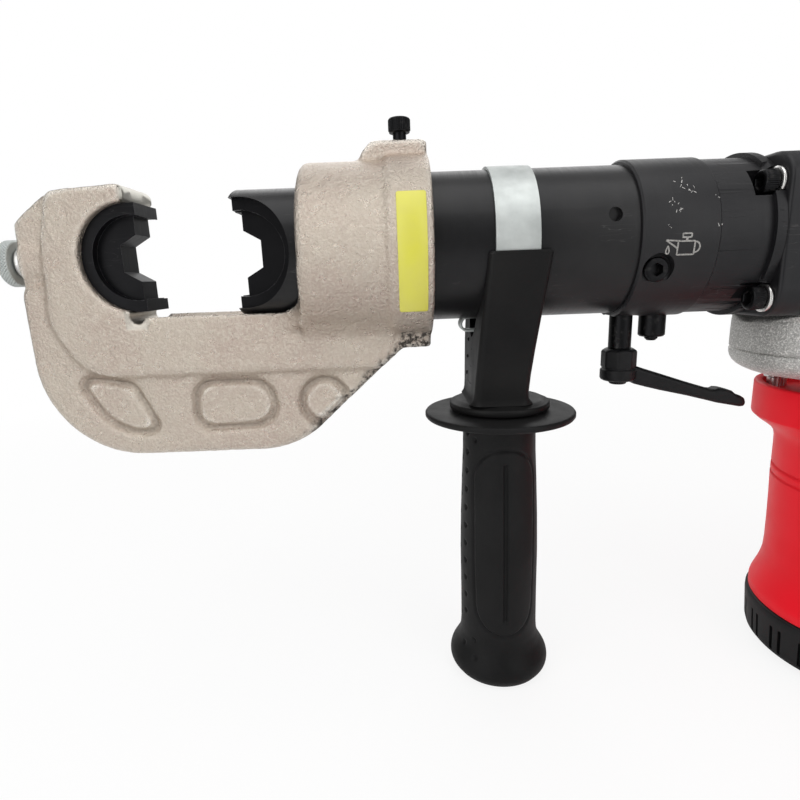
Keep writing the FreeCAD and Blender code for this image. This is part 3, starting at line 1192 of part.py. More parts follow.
def make_battery_case():
    """Battery: case with rounded edges, the rail on top and the latch's pocket at the rear."""
    rear = BATTERY_REAR
    half = BATTERY_HALF_WIDTH
    case = prism(rounded_rectangle(BATTERY_FRONT, rear, -half, half, 9), "xy", -STAND_DROP, BATTERY_TOP)
    case = rounded_edges(case, 3, on_plane("Z", [-STAND_DROP, BATTERY_TOP]))
    rail = prism(rail_section(0), "yz", BATTERY_FRONT + 4 + SEAT, rear - 16)
    pocket_cut = block(rear - 12, rear + 1, -10 - SEAT, 10 + SEAT, BATTERY_TOP - 22, BATTERY_TOP + 1)
    return case.fuse(rail).removeSplitter().cut(pocket_cut)


def make_battery_latch():
    """Sprung latch button at the battery's rear, with its nib."""
    rear = BATTERY_REAR
    body = block(rear - 12 + SEAT, rear, -10, 10, BATTERY_TOP - 14, BATTERY_TOP - 1)
    body = rounded_edges(body, 1.5, lambda p, e: abs(p.x - rear) < 1e-3)
    return body.fuse(block(rear - 11.5, rear - 8, -6, 6, BATTERY_TOP - 2, BATTERY_TOP + 3)).removeSplitter()


def make_latch_spring():
    """Spring under the latch."""
    return ring_z(3.5, 2.3, BATTERY_TOP - 22, BATTERY_TOP - 14, BATTERY_REAR - 6)


def make_parts():
    """All pieces by name."""
    web = GEAR_TOP + 1.5
    parts = {
        "c_head": make_c_head(),
        "fixed_die": make_die(FIXED_FLAT, 1),
        "lock_screw": make_lock_screw(),
        "lock_bush": make_lock_bush(),
        "lock_pin": make_lock_pin(),
        "lock_knob": make_lock_knob(),
        "lock_spring": make_lock_spring(),
        "ram": make_ram(),
        "moving_die": make_die(MOVING_FLAT, -1),
        "piston_seal": make_piston_seal(),
        "return_spring": make_return_spring(),
        "cylinder_tube": make_cylinder_tube(),
        "pump_body": make_pump_body(),
        "oil_plug": make_oil_plug(),
        "safety_valve": make_safety_valve(),
        "flange_block": make_flange_block(),
        "flange_washers": make_flange_washers(),
        "release_spindle": make_release_spindle(),
        "lever_screw": make_lever_screw(),
        "lever_spring": make_lever_spring(),
        "release_lever": make_release_lever(),
        "clamp_band": make_clamp_band(),
        "yoke": make_yoke(),
        "clamp_bolt": make_clamp_bolt(),
        "grip_nut": make_grip_nut(),
        "side_grip": make_side_grip(),
        "gear_housing": make_gear_housing(),
        "gear_top_cover": make_gear_top_cover(),
        "gear_cover": make_gear_cover(),
        "crank_gear": make_crank_gear(),
        "crankshaft": make_crankshaft(),
        "crank_bearing_upper": make_bearing(web, CRANK_X, BEARING_RADIUS, CRANK_JOURNAL_RADIUS, BEARING_WIDTH),
        "crank_bearing_lower": make_bearing(COVER_TOP - BEARING_WIDTH, CRANK_X, BEARING_RADIUS,
                                            CRANK_JOURNAL_RADIUS, BEARING_WIDTH),
        "plunger": make_plunger(),
        "motor_housing": make_motor_housing(),
        "base_cap": make_base_cap(),
        "stator": make_stator(),
        "rotor": make_rotor(),
        "fan": make_fan(),
        "motor_bearing_upper": make_bearing(MOTOR_TOP - 7, MOTOR_X, 10, ROTOR_SHAFT_RADIUS, 7),
        "motor_bearing_lower": make_bearing(CAP_TOP - 9, MOTOR_X, 9.5, ROTOR_SHAFT_RADIUS, 7),
        "handle_shell_left": make_handle_shell(1),
        "handle_shell_right": make_handle_shell(-1),
        "trigger": make_trigger(),
        "trigger_spring": make_trigger_spring(),
        "switch": make_switch(),
        "control_board": make_control_board(),
        "battery_foot": make_battery_foot(),
        "battery_case": make_battery_case(),
        "battery_latch": make_battery_latch(),
        "latch_spring": make_latch_spring(),
    }
    for number, (y, z) in enumerate(flange_places(), 1):
        parts["flange_screw_%d" % number] = make_flange_screw(y, z)
    return parts


def main():
    """Moves the pieces into the row's frame and writes one file for each."""
    os.makedirs("parts", exist_ok=True)
    front = BOSS_FACE - LOCK_KNOB_GAP - LOCK_KNOB_LENGTH
    shift = Vector(-(front + BATTERY_REAR) / 2, 0, STAND_DROP)
    for name, shape in make_parts().items():
        shape.translate(shift)
        shape.exportStep(os.path.join("parts", name + ".step"))


main()
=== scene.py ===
"""Dresses the hydraulic crimping tool round its fixed frame.

Lengths are metres in the frame's own axes: +X from the jaw to the rear handle, +Y away from the camera,
+Z up. Every place is worked out from the boxes of the frame's nodes. Shapes are surfaces on numpy grids.
"""
from __future__ import annotations

import logging
import math
from dataclasses import dataclass
from enum import Enum
from typing import Sequence

import bmesh
import bpy
import numpy as np
from mathutils import Matrix, Vector


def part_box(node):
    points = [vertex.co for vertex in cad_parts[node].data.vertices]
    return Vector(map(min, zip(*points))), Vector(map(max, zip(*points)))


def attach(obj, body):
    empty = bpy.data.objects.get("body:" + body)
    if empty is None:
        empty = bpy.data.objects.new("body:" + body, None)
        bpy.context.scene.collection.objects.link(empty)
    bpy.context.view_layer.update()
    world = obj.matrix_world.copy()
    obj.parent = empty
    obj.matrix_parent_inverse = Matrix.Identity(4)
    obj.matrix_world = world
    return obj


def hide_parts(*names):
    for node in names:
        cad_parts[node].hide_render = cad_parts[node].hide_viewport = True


MM = 0.001
TAU = 2.0 * math.pi
POLE = 1e-4
SEAM = 5e-7
LOOSE = 2e-6
log = logging.getLogger("crimping_tool")

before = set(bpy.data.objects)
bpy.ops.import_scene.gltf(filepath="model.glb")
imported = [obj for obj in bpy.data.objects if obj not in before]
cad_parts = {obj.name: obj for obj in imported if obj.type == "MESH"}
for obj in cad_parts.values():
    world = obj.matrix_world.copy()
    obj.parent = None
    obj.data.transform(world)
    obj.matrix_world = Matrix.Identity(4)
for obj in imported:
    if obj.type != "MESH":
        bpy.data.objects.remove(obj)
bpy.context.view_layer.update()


class Shade(Enum):
    """How a mesh's faces are shaded."""

    SMOOTH = True
    FLAT = False


@dataclass(frozen=True)
class Axis:
    """The ram axis and the stations that all pieces are placed by.

    Attributes:
        x: place along the tool of the head's rear face.
        z: height of the ram axis above the floor.
    """

    x: float
    z: float

    @staticmethod
    def read() -> "Axis":
        """Reads the axis from the tube's and the head's boxes."""
        tube_low, tube_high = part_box("cylinder_tube")
        head_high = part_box("c_head")[1]
        return Axis(head_high.x, (tube_low.z + tube_high.z) / 2)

    def place(self, along: float, across: float, up: float) -> tuple[float, float, float]:
        """Turns millimetres from the head's rear face and the ram axis into a place in the frame.

        Args:
            along: distance behind the head's rear face.
            across: distance away from the camera.
            up: height above the ram axis.

        Returns:
            The place in metres.
        """
        return (self.x + along * MM, across * MM, self.z + up * MM)

    def spread(self, local: np.ndarray) -> np.ndarray:
        """Does the same as place for a whole array, whose last side holds along, across and up."""
        return local * MM + np.array([self.x, 0.0, self.z])


AXIS = Axis.read()


def make_object(name: str, points: np.ndarray, faces: np.ndarray,
                shade: Shade = Shade.SMOOTH) -> bpy.types.Object:
    """Puts a computed surface into a new object at the origin.

    Args:
        name: the object's name.
        points: an array of shape (n, 3), in metres.
        faces: an array of vertex numbers, one row for each face.
        shade: smooth or flat shading.

    Returns:
        The linked object.
    """
    mesh = bpy.data.meshes.new(name)
    mesh.from_pydata(points.reshape(-1, 3).tolist(), [], faces.tolist())
    mesh.polygons.foreach_set("use_smooth", np.full(len(mesh.polygons), shade.value))
    mesh.update()
    thing = bpy.data.objects.new(name, mesh)
    bpy.context.scene.collection.objects.link(thing)
    return thing


def grid_faces(rows: int, columns: int, wrap: bool) -> np.ndarray:
    """Quads of a grid of points.

    Args:
        rows: number of points along the first parameter.
        columns: number of points along the second parameter.
        wrap: whether the second parameter closes on itself.

    Returns:
        An array of shape (faces, 4).
    """
    across = np.arange(columns if wrap else columns - 1)
    down = np.arange(rows - 1)[:, None]
    left = down * columns + across
    right = down * columns + (across + 1) % columns
    return np.stack([left, right, right + columns, left + columns], axis=-1).reshape(-1, 4)


def merge(parts: Sequence[tuple[np.ndarray, np.ndarray]]) -> tuple[np.ndarray, np.ndarray]:
    """Joins several surfaces with the same number of corners per face into one pair of arrays."""
    points, faces, start = [], [], 0
    for part_points, part_faces in parts:
        flat = part_points.reshape(-1, 3)
        points.append(flat)
        faces.append(part_faces + start)
        start += len(flat)
    return np.concatenate(points), np.concatenate(faces)


def polar_surface(along: Sequence[float], radius: np.ndarray, origin: Sequence[float], direction: str
                  ) -> tuple[np.ndarray, np.ndarray]:
    """Surface round an axis: point = origin + along * axis + radius(along, t) * (cos t, sin t).

    Args:
        along: distances along the axis, in millimetres, one for each row.
        radius: an array of shape (rows, steps), in millimetres. A row of zeros closes the surface.
        origin: the axis's start, in metres.
        direction: the axis, one of +x, -x, +y, -y, +z and -z.

    Returns:
        The points and quads.
    """
    sign = -1.0 if direction[0] == "-" else 1.0
    steps = radius.shape[1]
    turn = np.arange(steps) * TAU / steps
    line = np.repeat(np.array(along, float)[:, None], steps, axis=1) * MM * sign
    reach = np.maximum(radius, POLE) * MM
    side = reach * np.cos(turn) * sign
    rise = reach * np.sin(turn)
    order = {"x": (line, side, rise), "y": (rise, line, side), "z": (side, rise, line)}[direction[1]]
    points = np.stack(order, axis=-1) + np.array(origin)
    return points, grid_faces(len(line), steps, True)[:, ::-1]


def polar_rows(rows: Sequence[tuple[float, np.ndarray]], origin: Sequence[float], direction: str
               ) -> tuple[np.ndarray, np.ndarray]:
    """A polar surface from (along, radius all the way round) pairs."""
    return polar_surface([row[0] for row in rows], np.stack([row[1] for row in rows]), origin, direction)


def ring_surface(profile: Sequence[tuple[float, float]], steps: int, origin: Sequence[float],
                 direction: str) -> tuple[np.ndarray, np.ndarray]:
    """Turns a profile about an axis: a polar surface whose radius is the same all the way round.

    Args:
        profile: (along, radius) pairs in millimetres, each end on the axis with radius 0.
        steps: number of steps round the axis.
        origin: the axis's start, in metres.
        direction: the axis, one of +x, -x, +y, -y, +z and -z.

    Returns:
        The points and quads.
    """
    line = np.array(profile, float)
    return polar_surface(line[:, 0], np.repeat(line[:, 1:], steps, axis=1), origin, direction)


def smooth_step(low: float, high: float, value: np.ndarray) -> np.ndarray:
    """Rises from 0 at low to 1 at high along an S curve."""
    share = np.clip((value - low) / (high - low), 0.0, 1.0)
    return share * share * (3.0 - 2.0 * share)


def bump_noise(points: np.ndarray, wave: float, seed: int) -> np.ndarray:
    """Smooth value noise: a sum of plane sine waves with seeded directions and phases.

    Args:
        points: an array of shape (n, 3), in metres.
        wave: mean wavelength in metres.
        seed: seed of the random directions.

    Returns:
        One value for each point, about between -1 and 1.
    """
    dice = np.random.default_rng(seed)
    directions = dice.normal(size=(14, 3))
    directions /= np.linalg.norm(directions, axis=1, keepdims=True)
    lengths = wave * dice.uniform(0.6, 1.7, 14)
    phases = dice.uniform(0, TAU, 14)
    waves = np.sin(points @ (directions * (TAU / lengths)[:, None]).T + phases)
    return waves.sum(axis=1) / 5.0


class Palette:
    """Builds node materials and remembers them by name."""

    def __init__(self, name: str) -> None:
        """Starts a material with one Principled shader."""
        self.material = bpy.data.materials.new(name)
        self.material.use_nodes = True
        self.tree = self.material.node_tree
        self.shader = self.tree.nodes["Principled BSDF"]
        self.coords = self.add("ShaderNodeTexCoord").outputs["Object"]

    def add(self, kind: str) -> bpy.types.Node:
        """Adds a node of a kind."""
        return self.tree.nodes.new(kind)

    def link(self, source: bpy.types.NodeSocket, target: bpy.types.NodeSocket) -> None:
        """Links two sockets."""
        self.tree.links.new(source, target)

    def fixed(self, **values: float) -> None:
        """Sets constant values on the shader's own sockets, by socket name with underscores."""
        for key, value in values.items():
            self.shader.inputs[key.replace("_", " ")].default_value = value

    def stretched(self, scale: tuple[float, float, float], turn: tuple[float, float, float] = (0, 0, 0)
                  ) -> bpy.types.NodeSocket:
        """Object coordinates scaled and turned by a Mapping node."""
        mapping = self.add("ShaderNodeMapping")
        mapping.inputs["Scale"].default_value = scale
        mapping.inputs["Rotation"].default_value = turn
        self.link(self.coords, mapping.inputs["Vector"])
        return mapping.outputs["Vector"]

    def noise(self, scale: float, detail: float = 4.0, rough: float = 0.55,
              vector: bpy.types.NodeSocket | None = None) -> bpy.types.NodeSocket:
        """Noise of a scale in waves per metre."""
        node = self.add("ShaderNodeTexNoise")
        node.inputs["Scale"].default_value = scale
        node.inputs["Detail"].default_value = detail
        node.inputs["Roughness"].default_value = rough
        self.link(vector or self.coords, node.inputs["Vector"])
        return node.outputs["Fac"]

    def stored(self, name: str) -> bpy.types.NodeSocket:
        """A value that the mesh keeps for each vertex. It is 0 on a mesh without it."""
        node = self.add("ShaderNodeAttribute")
        node.attribute_name = name
        return node.outputs["Fac"]

    def cells(self, scale: float, feature: str = "F1") -> bpy.types.NodeSocket:
        """Cell pattern of a scale in cells per metre."""
        node = self.add("ShaderNodeTexVoronoi")
        node.feature = feature
        node.inputs["Scale"].default_value = scale
        self.link(self.coords, node.inputs["Vector"])
        return node.outputs["Distance"]

    def ramp(self, source: bpy.types.NodeSocket, stops: Sequence[tuple[float, Sequence[float] | float]]
             ) -> bpy.types.NodeSocket:
        """Colour ramp. A stop is a place and a grey level or a colour."""
        node = self.add("ShaderNodeValToRGB")
        elements = node.color_ramp.elements
        while len(elements) < len(stops):
            elements.new(0.5)
        for element, (place, colour) in zip(elements, stops):
            element.position = place
            tint = (colour,) * 3 if isinstance(colour, float) else tuple(colour)
            element.color = (*tint, 1.0)
        self.link(source, node.inputs["Fac"])
        return node.outputs["Color"]

    def blend(self, factor: bpy.types.NodeSocket | float, first: bpy.types.NodeSocket | Sequence[float],
              second: bpy.types.NodeSocket | Sequence[float]) -> bpy.types.NodeSocket:
        """Mixes two colours."""
        node = self.add("ShaderNodeMix")
        node.data_type = "RGBA"
        for socket, value in ((node.inputs[0], factor), (node.inputs[6], first), (node.inputs[7], second)):
            if isinstance(value, bpy.types.NodeSocket):
                self.link(value, socket)
            elif isinstance(value, float):
                socket.default_value = value
            else:
                socket.default_value = (*value, 1.0)
        return node.outputs[2]

    def math(self, kind: str, first: bpy.types.NodeSocket | float, second: bpy.types.NodeSocket | float
             ) -> bpy.types.NodeSocket:
        """Joins two values by an operation."""
        node = self.add("ShaderNodeMath")
        node.operation = kind
        for socket, value in zip(node.inputs, (first, second)):
            if isinstance(value, bpy.types.NodeSocket):
                self.link(value, socket)
            else:
                socket.default_value = value
        return node.outputs[0]

    def bump(self, height: bpy.types.NodeSocket, depth: float, strength: float = 1.0,
             under: bpy.types.NodeSocket | None = None) -> bpy.types.NodeSocket:
        """Bump of a depth in metres, laid over another if one is given."""
        node = self.add("ShaderNodeBump")
        node.inputs["Distance"].default_value = depth
        node.inputs["Strength"].default_value = strength
        self.link(height, node.inputs["Height"])
        if under is not None:
            self.link(under, node.inputs["Normal"])
        return node.outputs["Normal"]

    def finish(self, colour: bpy.types.NodeSocket, rough: bpy.types.NodeSocket,
               normal: bpy.types.NodeSocket) -> bpy.types.Material:
        """Links colour, roughness and normal to the shader and returns the material."""
        self.link(colour, self.shader.inputs["Base Color"])
        self.link(rough, self.shader.inputs["Roughness"])
        self.link(normal, self.shader.inputs["Normal"])
        return self.material


@dataclass(frozen=True)
class ForgedNickel:
    """Rough forging under a warm nickel plate, pitted, with painted glints in its grain, its convex edges
    bright from rubbing and a painted highlight, its hollows dark from grime and painted shade.
    """

    name: str = "plated_forging"
    warm: tuple[float, float, float] = (0.56, 0.49, 0.415)
    pale: tuple[float, float, float] = (0.62, 0.56, 0.485)
    pink: tuple[float, float, float] = (0.51, 0.42, 0.36)
    rubbed_and_highlight: tuple[float, float, float] = (0.84, 0.80, 0.73)
    grime_and_shade: tuple[float, float, float] = (0.20, 0.165, 0.135)
    cut: tuple[float, float, float] = (0.52, 0.505, 0.455)
    burnt: tuple[float, float, float] = (0.045, 0.038, 0.032)
    grain: float = 900.0

    def build(self) -> bpy.types.Material:
        """Mixes two tints by large soft noise, roughens the plate by grain, paints pale glints on the grain,
        and reads from the mesh the edges that get wear and a painted highlight and the hollows that get grime
        and painted shade.
        """
        kit = Palette(self.name)
        kit.fixed(Specular_IOR_Level=0.5)
        cloud = kit.noise(38.0, 3.0)
        fine = kit.noise(self.grain, 5.0, 0.62)
        coarse = kit.noise(210.0, 4.0, 0.6)
        worn, hollow, machined, soot = (kit.stored(name) for name in ("worn", "hollow", "machined", "soot"))
        tint = kit.blend(kit.ramp(cloud, [(0.38, 0.0), (0.66, 1.0)]), self.warm, self.pink)
        # Pale specks on the grain's tops are painted glints.
        painted_glint = kit.ramp(fine, [(0.46, 0.0), (0.66, 1.0)])
        skin = kit.blend(painted_glint, tint, self.pale)
        # Convex edges are lit by rubbed wear and a painted highlight.
        skin = kit.blend(kit.math("MULTIPLY", worn, 0.75), skin, self.rubbed_and_highlight)
        # Hollows are darkened by grime and painted shade.
        skin = kit.blend(kit.math("MULTIPLY", hollow, 0.45), skin, self.grime_and_shade)
        skin = kit.blend(machined, skin, self.cut)
        blotch = kit.ramp(kit.noise(520.0, 4.0, 0.7), [(0.42, 0.15), (0.55, 1.0)])
        burnt = kit.math("MULTIPLY", soot, blotch)
        colour = kit.blend(burnt, skin, self.burnt)
        kit.link(kit.math("SUBTRACT", 0.97, kit.math("MULTIPLY", burnt, 0.7)), kit.shader.inputs["Metallic"])
        rough = kit.ramp(coarse, [(0.3, 0.25), (0.7, 0.34)])
        rough = kit.blend(kit.math("MULTIPLY", worn, 0.6), rough, (0.20, 0.20, 0.20))
        rough = kit.blend(machined, rough, (0.36, 0.36, 0.36))
        rough = kit.blend(burnt, rough, (0.75, 0.75, 0.75))
        keep = kit.math("SUBTRACT", 1.0, kit.math("MULTIPLY", machined, 0.92))
        under = kit.bump(kit.math("MULTIPLY", coarse, keep), 0.0010, 0.6)
        normal = kit.bump(kit.math("MULTIPLY", fine, keep), 0.0009, 1.0, under)
        return kit.finish(colour, rough, normal)


@dataclass(frozen=True)
class BlackSteel:
    """Black oxide over turned steel, with faint turning lines, dust and short bright scratches."""

    name: str = "black_steel"
    base: tuple[float, float, float] = (0.0065, 0.0065, 0.0075)
    worn: tuple[float, float, float] = (0.030, 0.029, 0.029)
    lines: tuple[float, float, float] = (90.0, 1.0, 1.0)
    rough_low: float = 0.30
    rough_high: float = 0.42
    scratches: float = 0.5
    gloss: float = 0.38

    def build(self) -> bpy.types.Material:
        """Turning lines run round the X axis; scratches are thin ridges of stretched noise."""
        kit = Palette(self.name)
        kit.fixed(Metallic=0.3, Specular_IOR_Level=self.gloss)
        turning = kit.noise(40.0, 4.0, 0.65, kit.stretched(self.lines))
        cloud = kit.noise(22.0, 4.0)
        ridge = kit.noise(46.0, 2.0, 0.4, kit.stretched((1.0, 1.0, 9.0), (0.5, 0.35, 0.2)))
        thin = kit.math("ABSOLUTE", kit.math("SUBTRACT", ridge, 0.5), 0.0)
        scratch = kit.ramp(thin, [(0.0, self.scratches), (0.006, 0.0)])
        patches = kit.ramp(kit.noise(30.0, 2.0), [(0.56, 0.0), (0.66, 1.0)])
        mask = kit.math("MULTIPLY", scratch, patches)
        tint = kit.blend(kit.ramp(cloud, [(0.4, 0.0), (0.75, 0.45)]), self.base, self.worn)
        colour = kit.blend(mask, tint, (0.30, 0.29, 0.28))
        rough = kit.ramp(turning, [(0.3, self.rough_low), (0.7, self.rough_high)])
        return kit.finish(colour, rough, kit.bump(turning, 0.00006, 0.4))


@dataclass(frozen=True)
class RubbedEdge:
    """Edge of a blackened part where the black has gone in patches; on the dies its lighter patches are a
    painted highlight.
    """

    name: str = "rubbed_edge"
    black: tuple[float, float, float] = (0.012, 0.012, 0.013)
    bare: tuple[float, float, float] = (0.62, 0.61, 0.60)
    share: float = 0.40

    def build(self) -> bpy.types.Material:
        """Soft noise says where the steel is bare; fine noise breaks up the border."""
        kit = Palette(self.name)
        kit.fixed(Metallic=0.85)
        soft = kit.noise(34.0, 3.0, 0.6)
        fine = kit.noise(900.0, 3.0, 0.6)
        mixed = kit.math("ADD", soft, kit.math("MULTIPLY", kit.math("SUBTRACT", fine, 0.5), 0.25))
        bare = kit.ramp(mixed, [(self.share, 0.0), (self.share + 0.07, 1.0)])
        colour = kit.blend(bare, self.black, self.bare)
        rough = kit.ramp(fine, [(0.3, 0.30), (0.7, 0.45)])
        return kit.finish(colour, rough, kit.bump(fine, 0.00006, 0.4))


@dataclass(frozen=True)
class ZincPlate:
    """Dull bright zinc with faint crystals."""

    name: str = "zinc_plate"
    light: tuple[float, float, float] = (0.60, 0.63, 0.615)
    dark: tuple[float, float, float] = (0.46, 0.485, 0.475)

    def build(self) -> bpy.types.Material:
        """Cells and clouds mix two greys."""
        kit = Palette(self.name)
        kit.fixed(Metallic=0.8)
        cloud = kit.noise(70.0, 4.0)
        cells = kit.cells(240.0)
        colour = kit.blend(kit.ramp(cloud, [(0.35, 0.0), (0.65, 1.0)]), self.light, self.dark)
        rough = kit.ramp(cells, [(0.0, 0.42), (0.8, 0.55)])
        return kit.finish(colour, rough, kit.bump(kit.noise(500.0), 0.00005, 0.4))


@dataclass(frozen=True)
class BrightSteel:
    """Bare bright steel for pins, knobs and washers."""

    name: str = "turned_steel"
    light: tuple[float, float, float] = (0.74, 0.73, 0.71)
    dark: tuple[float, float, float] = (0.52, 0.51, 0.50)

    def build(self) -> bpy.types.Material:
        """Stretched noise gives turning lines."""
        kit = Palette(self.name)
        kit.fixed(Metallic=1.0)
        lines = kit.noise(90.0, 3.0, 0.6, kit.stretched((30.0, 1.0, 1.0)))
        colour = kit.blend(kit.ramp(lines, [(0.3, 0.0), (0.7, 1.0)]), self.light, self.dark)
        rough = kit.ramp(lines, [(0.3, 0.22), (0.7, 0.36)])
        return kit.finish(colour, rough, kit.bump(lines, 0.00006, 0.3))


@dataclass(frozen=True)
class Moulded:
    """Moulded plastic or rubber with a fine eroded grain."""

    name: str
    base: tuple[float, float, float]
    pale: tuple[float, float, float]
    rough_low: float
    rough_high: float
    grain: float = 1500.0
    depth: float = 0.00010
    sheen: float = 0.0
    gloss: float = 0.2

    def build(self) -> bpy.types.Material:
        """Dust clouds vary the colour, and grain gives the surface its bite."""
        kit = Palette(self.name)
        kit.fixed(Metallic=0.0, Specular_IOR_Level=self.gloss, Sheen_Weight=self.sheen)
        cloud = kit.noise(26.0, 4.0)
        grain = kit.noise(self.grain, 3.0, 0.6)
        colour = kit.blend(kit.ramp(cloud, [(0.35, 0.0), (0.75, 1.0)]), self.base, self.pale)
        rough = kit.ramp(kit.noise(60.0), [(0.3, self.rough_low), (0.7, self.rough_high)])
        return kit.finish(colour, rough, kit.bump(grain, self.depth, 0.5))


@dataclass(frozen=True)
class CastAluminium:
    """Sand cast aluminium, bead blasted: grey with bright points."""

    name: str = "blasted_casting"
    base: tuple[float, float, float] = (0.44, 0.432, 0.415)
    pale: tuple[float, float, float] = (0.88, 0.87, 0.84)

    def build(self) -> bpy.types.Material:
        """Fine and coarse grain set both colour and height."""
        kit = Palette(self.name)
        kit.fixed(Metallic=0.75)
        fine = kit.noise(1300.0, 3.0, 0.6)
        coarse = kit.noise(330.0, 4.0)
        colour = kit.blend(kit.ramp(fine, [(0.45, 0.0), (0.7, 1.0)]), self.base, self.pale)
        rough = kit.ramp(coarse, [(0.3, 0.48), (0.7, 0.62)])
        under = kit.bump(coarse, 0.0004, 0.5)
        return kit.finish(colour, rough, kit.bump(fine, 0.0004, 0.85, under))


@dataclass(frozen=True)
class BlackScrew:
    """Blackened screw steel with an oily shine."""

    name: str = "black_screw"
    base: tuple[float, float, float] = (0.010, 0.010, 0.011)
    worn: tuple[float, float, float] = (0.055, 0.053, 0.051)

    def build(self) -> bpy.types.Material:
        """Small clouds show bare metal through the black."""
        kit = Palette(self.name)
        kit.fixed(Metallic=0.85)
        cloud = kit.noise(420.0, 4.0)
        colour = kit.blend(kit.ramp(cloud, [(0.55, 0.0), (0.78, 0.8)]), self.base, self.worn)
        rough = kit.ramp(cloud, [(0.3, 0.28), (0.7, 0.45)])
        return kit.finish(colour, rough, kit.bump(cloud, 0.00006, 0.4))


@dataclass(frozen=True)
class BlankLabel:
    """Yellow foil label with nothing on it, a little worn."""

    name: str = "blank_label"
    base: tuple[float, float, float] = (0.68, 0.65, 0.07)
    pale: tuple[float, float, float] = (0.64, 0.60, 0.13)

    def build(self) -> bpy.types.Material:
        """Soft clouds fade the yellow."""
        kit = Palette(self.name)
        kit.fixed(Metallic=0.0, Coat_Weight=0.3, Coat_Roughness=0.25)
        cloud = kit.noise(90.0, 3.0)
        colour = kit.blend(kit.ramp(cloud, [(0.35, 0.0), (0.8, 0.7)]), self.base, self.pale)
        rough = kit.ramp(cloud, [(0.3, 0.36), (0.7, 0.5)])
        return kit.finish(colour, rough, kit.bump(kit.noise(240.0), 0.0001, 0.3))


@dataclass(frozen=True)
class Etching:
    """Pale etched line on the black steel."""

    name: str = "etching"
    base: tuple[float, float, float] = (0.40, 0.39, 0.37)
    dark: tuple[float, float, float] = (0.16, 0.155, 0.15)

    def build(self) -> bpy.types.Material:
        """Grain breaks the line up."""
        kit = Palette(self.name)
        kit.fixed(Metallic=0.4)
        grain = kit.noise(1900.0, 3.0)
        colour = kit.blend(kit.ramp(grain, [(0.4, 0.0), (0.7, 1.0)]), self.base, self.dark)
        rough = kit.ramp(grain, [(0.3, 0.5), (0.7, 0.7)])
        return kit.finish(colour, rough, kit.bump(grain, 0.00005, 0.5))


@dataclass(frozen=True)
class BoardLacquer:
    """Green lacquer of a control board."""

    name: str = "board_lacquer"
    base: tuple[float, float, float] = (0.01, 0.10, 0.04)
    pale: tuple[float, float, float] = (0.02, 0.16, 0.06)

    def build(self) -> bpy.types.Material:
        """Cells hint at copper under the lacquer."""
        kit = Palette(self.name)
        kit.fixed(Coat_Weight=0.4)
        cells = kit.cells(300.0)
        colour = kit.blend(kit.ramp(cells, [(0.2, 0.0), (0.4, 1.0)]), self.base, self.pale)
        rough = kit.ramp(cells, [(0.0, 0.3), (0.8, 0.42)])
        return kit.finish(colour, rough, kit.bump(cells, 0.00005, 0.3))


class Finish(Enum):
    """The finishes of this tool, each built once."""

    FORGED = ForgedNickel()
    TUBE = BlackSteel("tube_black", scratches=0.12)
    DIE = BlackSteel("die_black", (0.005, 0.005, 0.006), (0.022, 0.022, 0.024), (1.0, 60.0, 1.0),
                     0.36, 0.5, 0.12, 0.14)
    RAM = BlackSteel("ram_black", (0.008, 0.008, 0.009), (0.05, 0.049, 0.047), (140.0, 1.0, 1.0),
                     0.26, 0.40, 0.3)
    PUMP = BlackSteel("pump_black", (0.009, 0.009, 0.0105), (0.034, 0.033, 0.034), (70.0, 1.0, 1.0),
                      0.38, 0.5, 0.2)
    ZINC = ZincPlate()
    BRIGHT = BrightSteel()
    SCREW = BlackScrew()
    CAST = CastAluminium()
    DARK_CAST = Moulded("dark_cover", (0.022, 0.023, 0.028), (0.045, 0.046, 0.054), 0.45, 0.6, 700.0, 0.0002)
    LEVER = Moulded("lever_coat", (0.005, 0.005, 0.0055), (0.012, 0.012, 0.013), 0.40, 0.52, 900.0, 0.00012)
    YOKE = Moulded("yoke_plastic", (0.006, 0.006, 0.0063), (0.012, 0.0118, 0.0116), 0.40, 0.54,
                   1400.0, 0.00008, 0.0, 0.13)
    RUBBER = Moulded("dull_rubber", (0.005, 0.005, 0.0052), (0.010, 0.010, 0.0103), 0.44, 0.58,
                     1100.0, 0.00012, 0.02, 0.14)
    RED = Moulded("red_shell", (0.88, 0.0085, 0.020), (0.93, 0.014, 0.028), 0.34, 0.46, 1700.0, 0.00008)
    BLACK = Moulded("black_shell", (0.007, 0.007, 0.0075), (0.014, 0.014, 0.0145), 0.44, 0.56, 1500.0, 0.0001)
    BUTTON = Moulded("button_red", (0.62, 0.008, 0.012), (0.70, 0.015, 0.020), 0.34, 0.44, 1500.0, 0.00006)
    LABEL = BlankLabel()
    ETCHING = Etching()
    SCRATCH = Etching("bright_scratch", (0.62, 0.61, 0.59), (0.34, 0.33, 0.32))
    RUBBED = RubbedEdge()
    # Painted highlight along the dies' bevels, in patches.
    DIE_EDGE = RubbedEdge("die_edge_highlight", (0.008, 0.008, 0.009), (0.20, 0.20, 0.21), 0.40)
    BOARD = BoardLacquer()

    @property
    def material(self) -> bpy.types.Material:
        """The built material."""
        return bpy.data.materials.get(self.value.name) or self.value.build()


def dress(thing: bpy.types.Object, finish: Finish) -> None:
    """Gives an object one finish."""
    thing.data.materials.clear()
    thing.data.materials.append(finish.material)


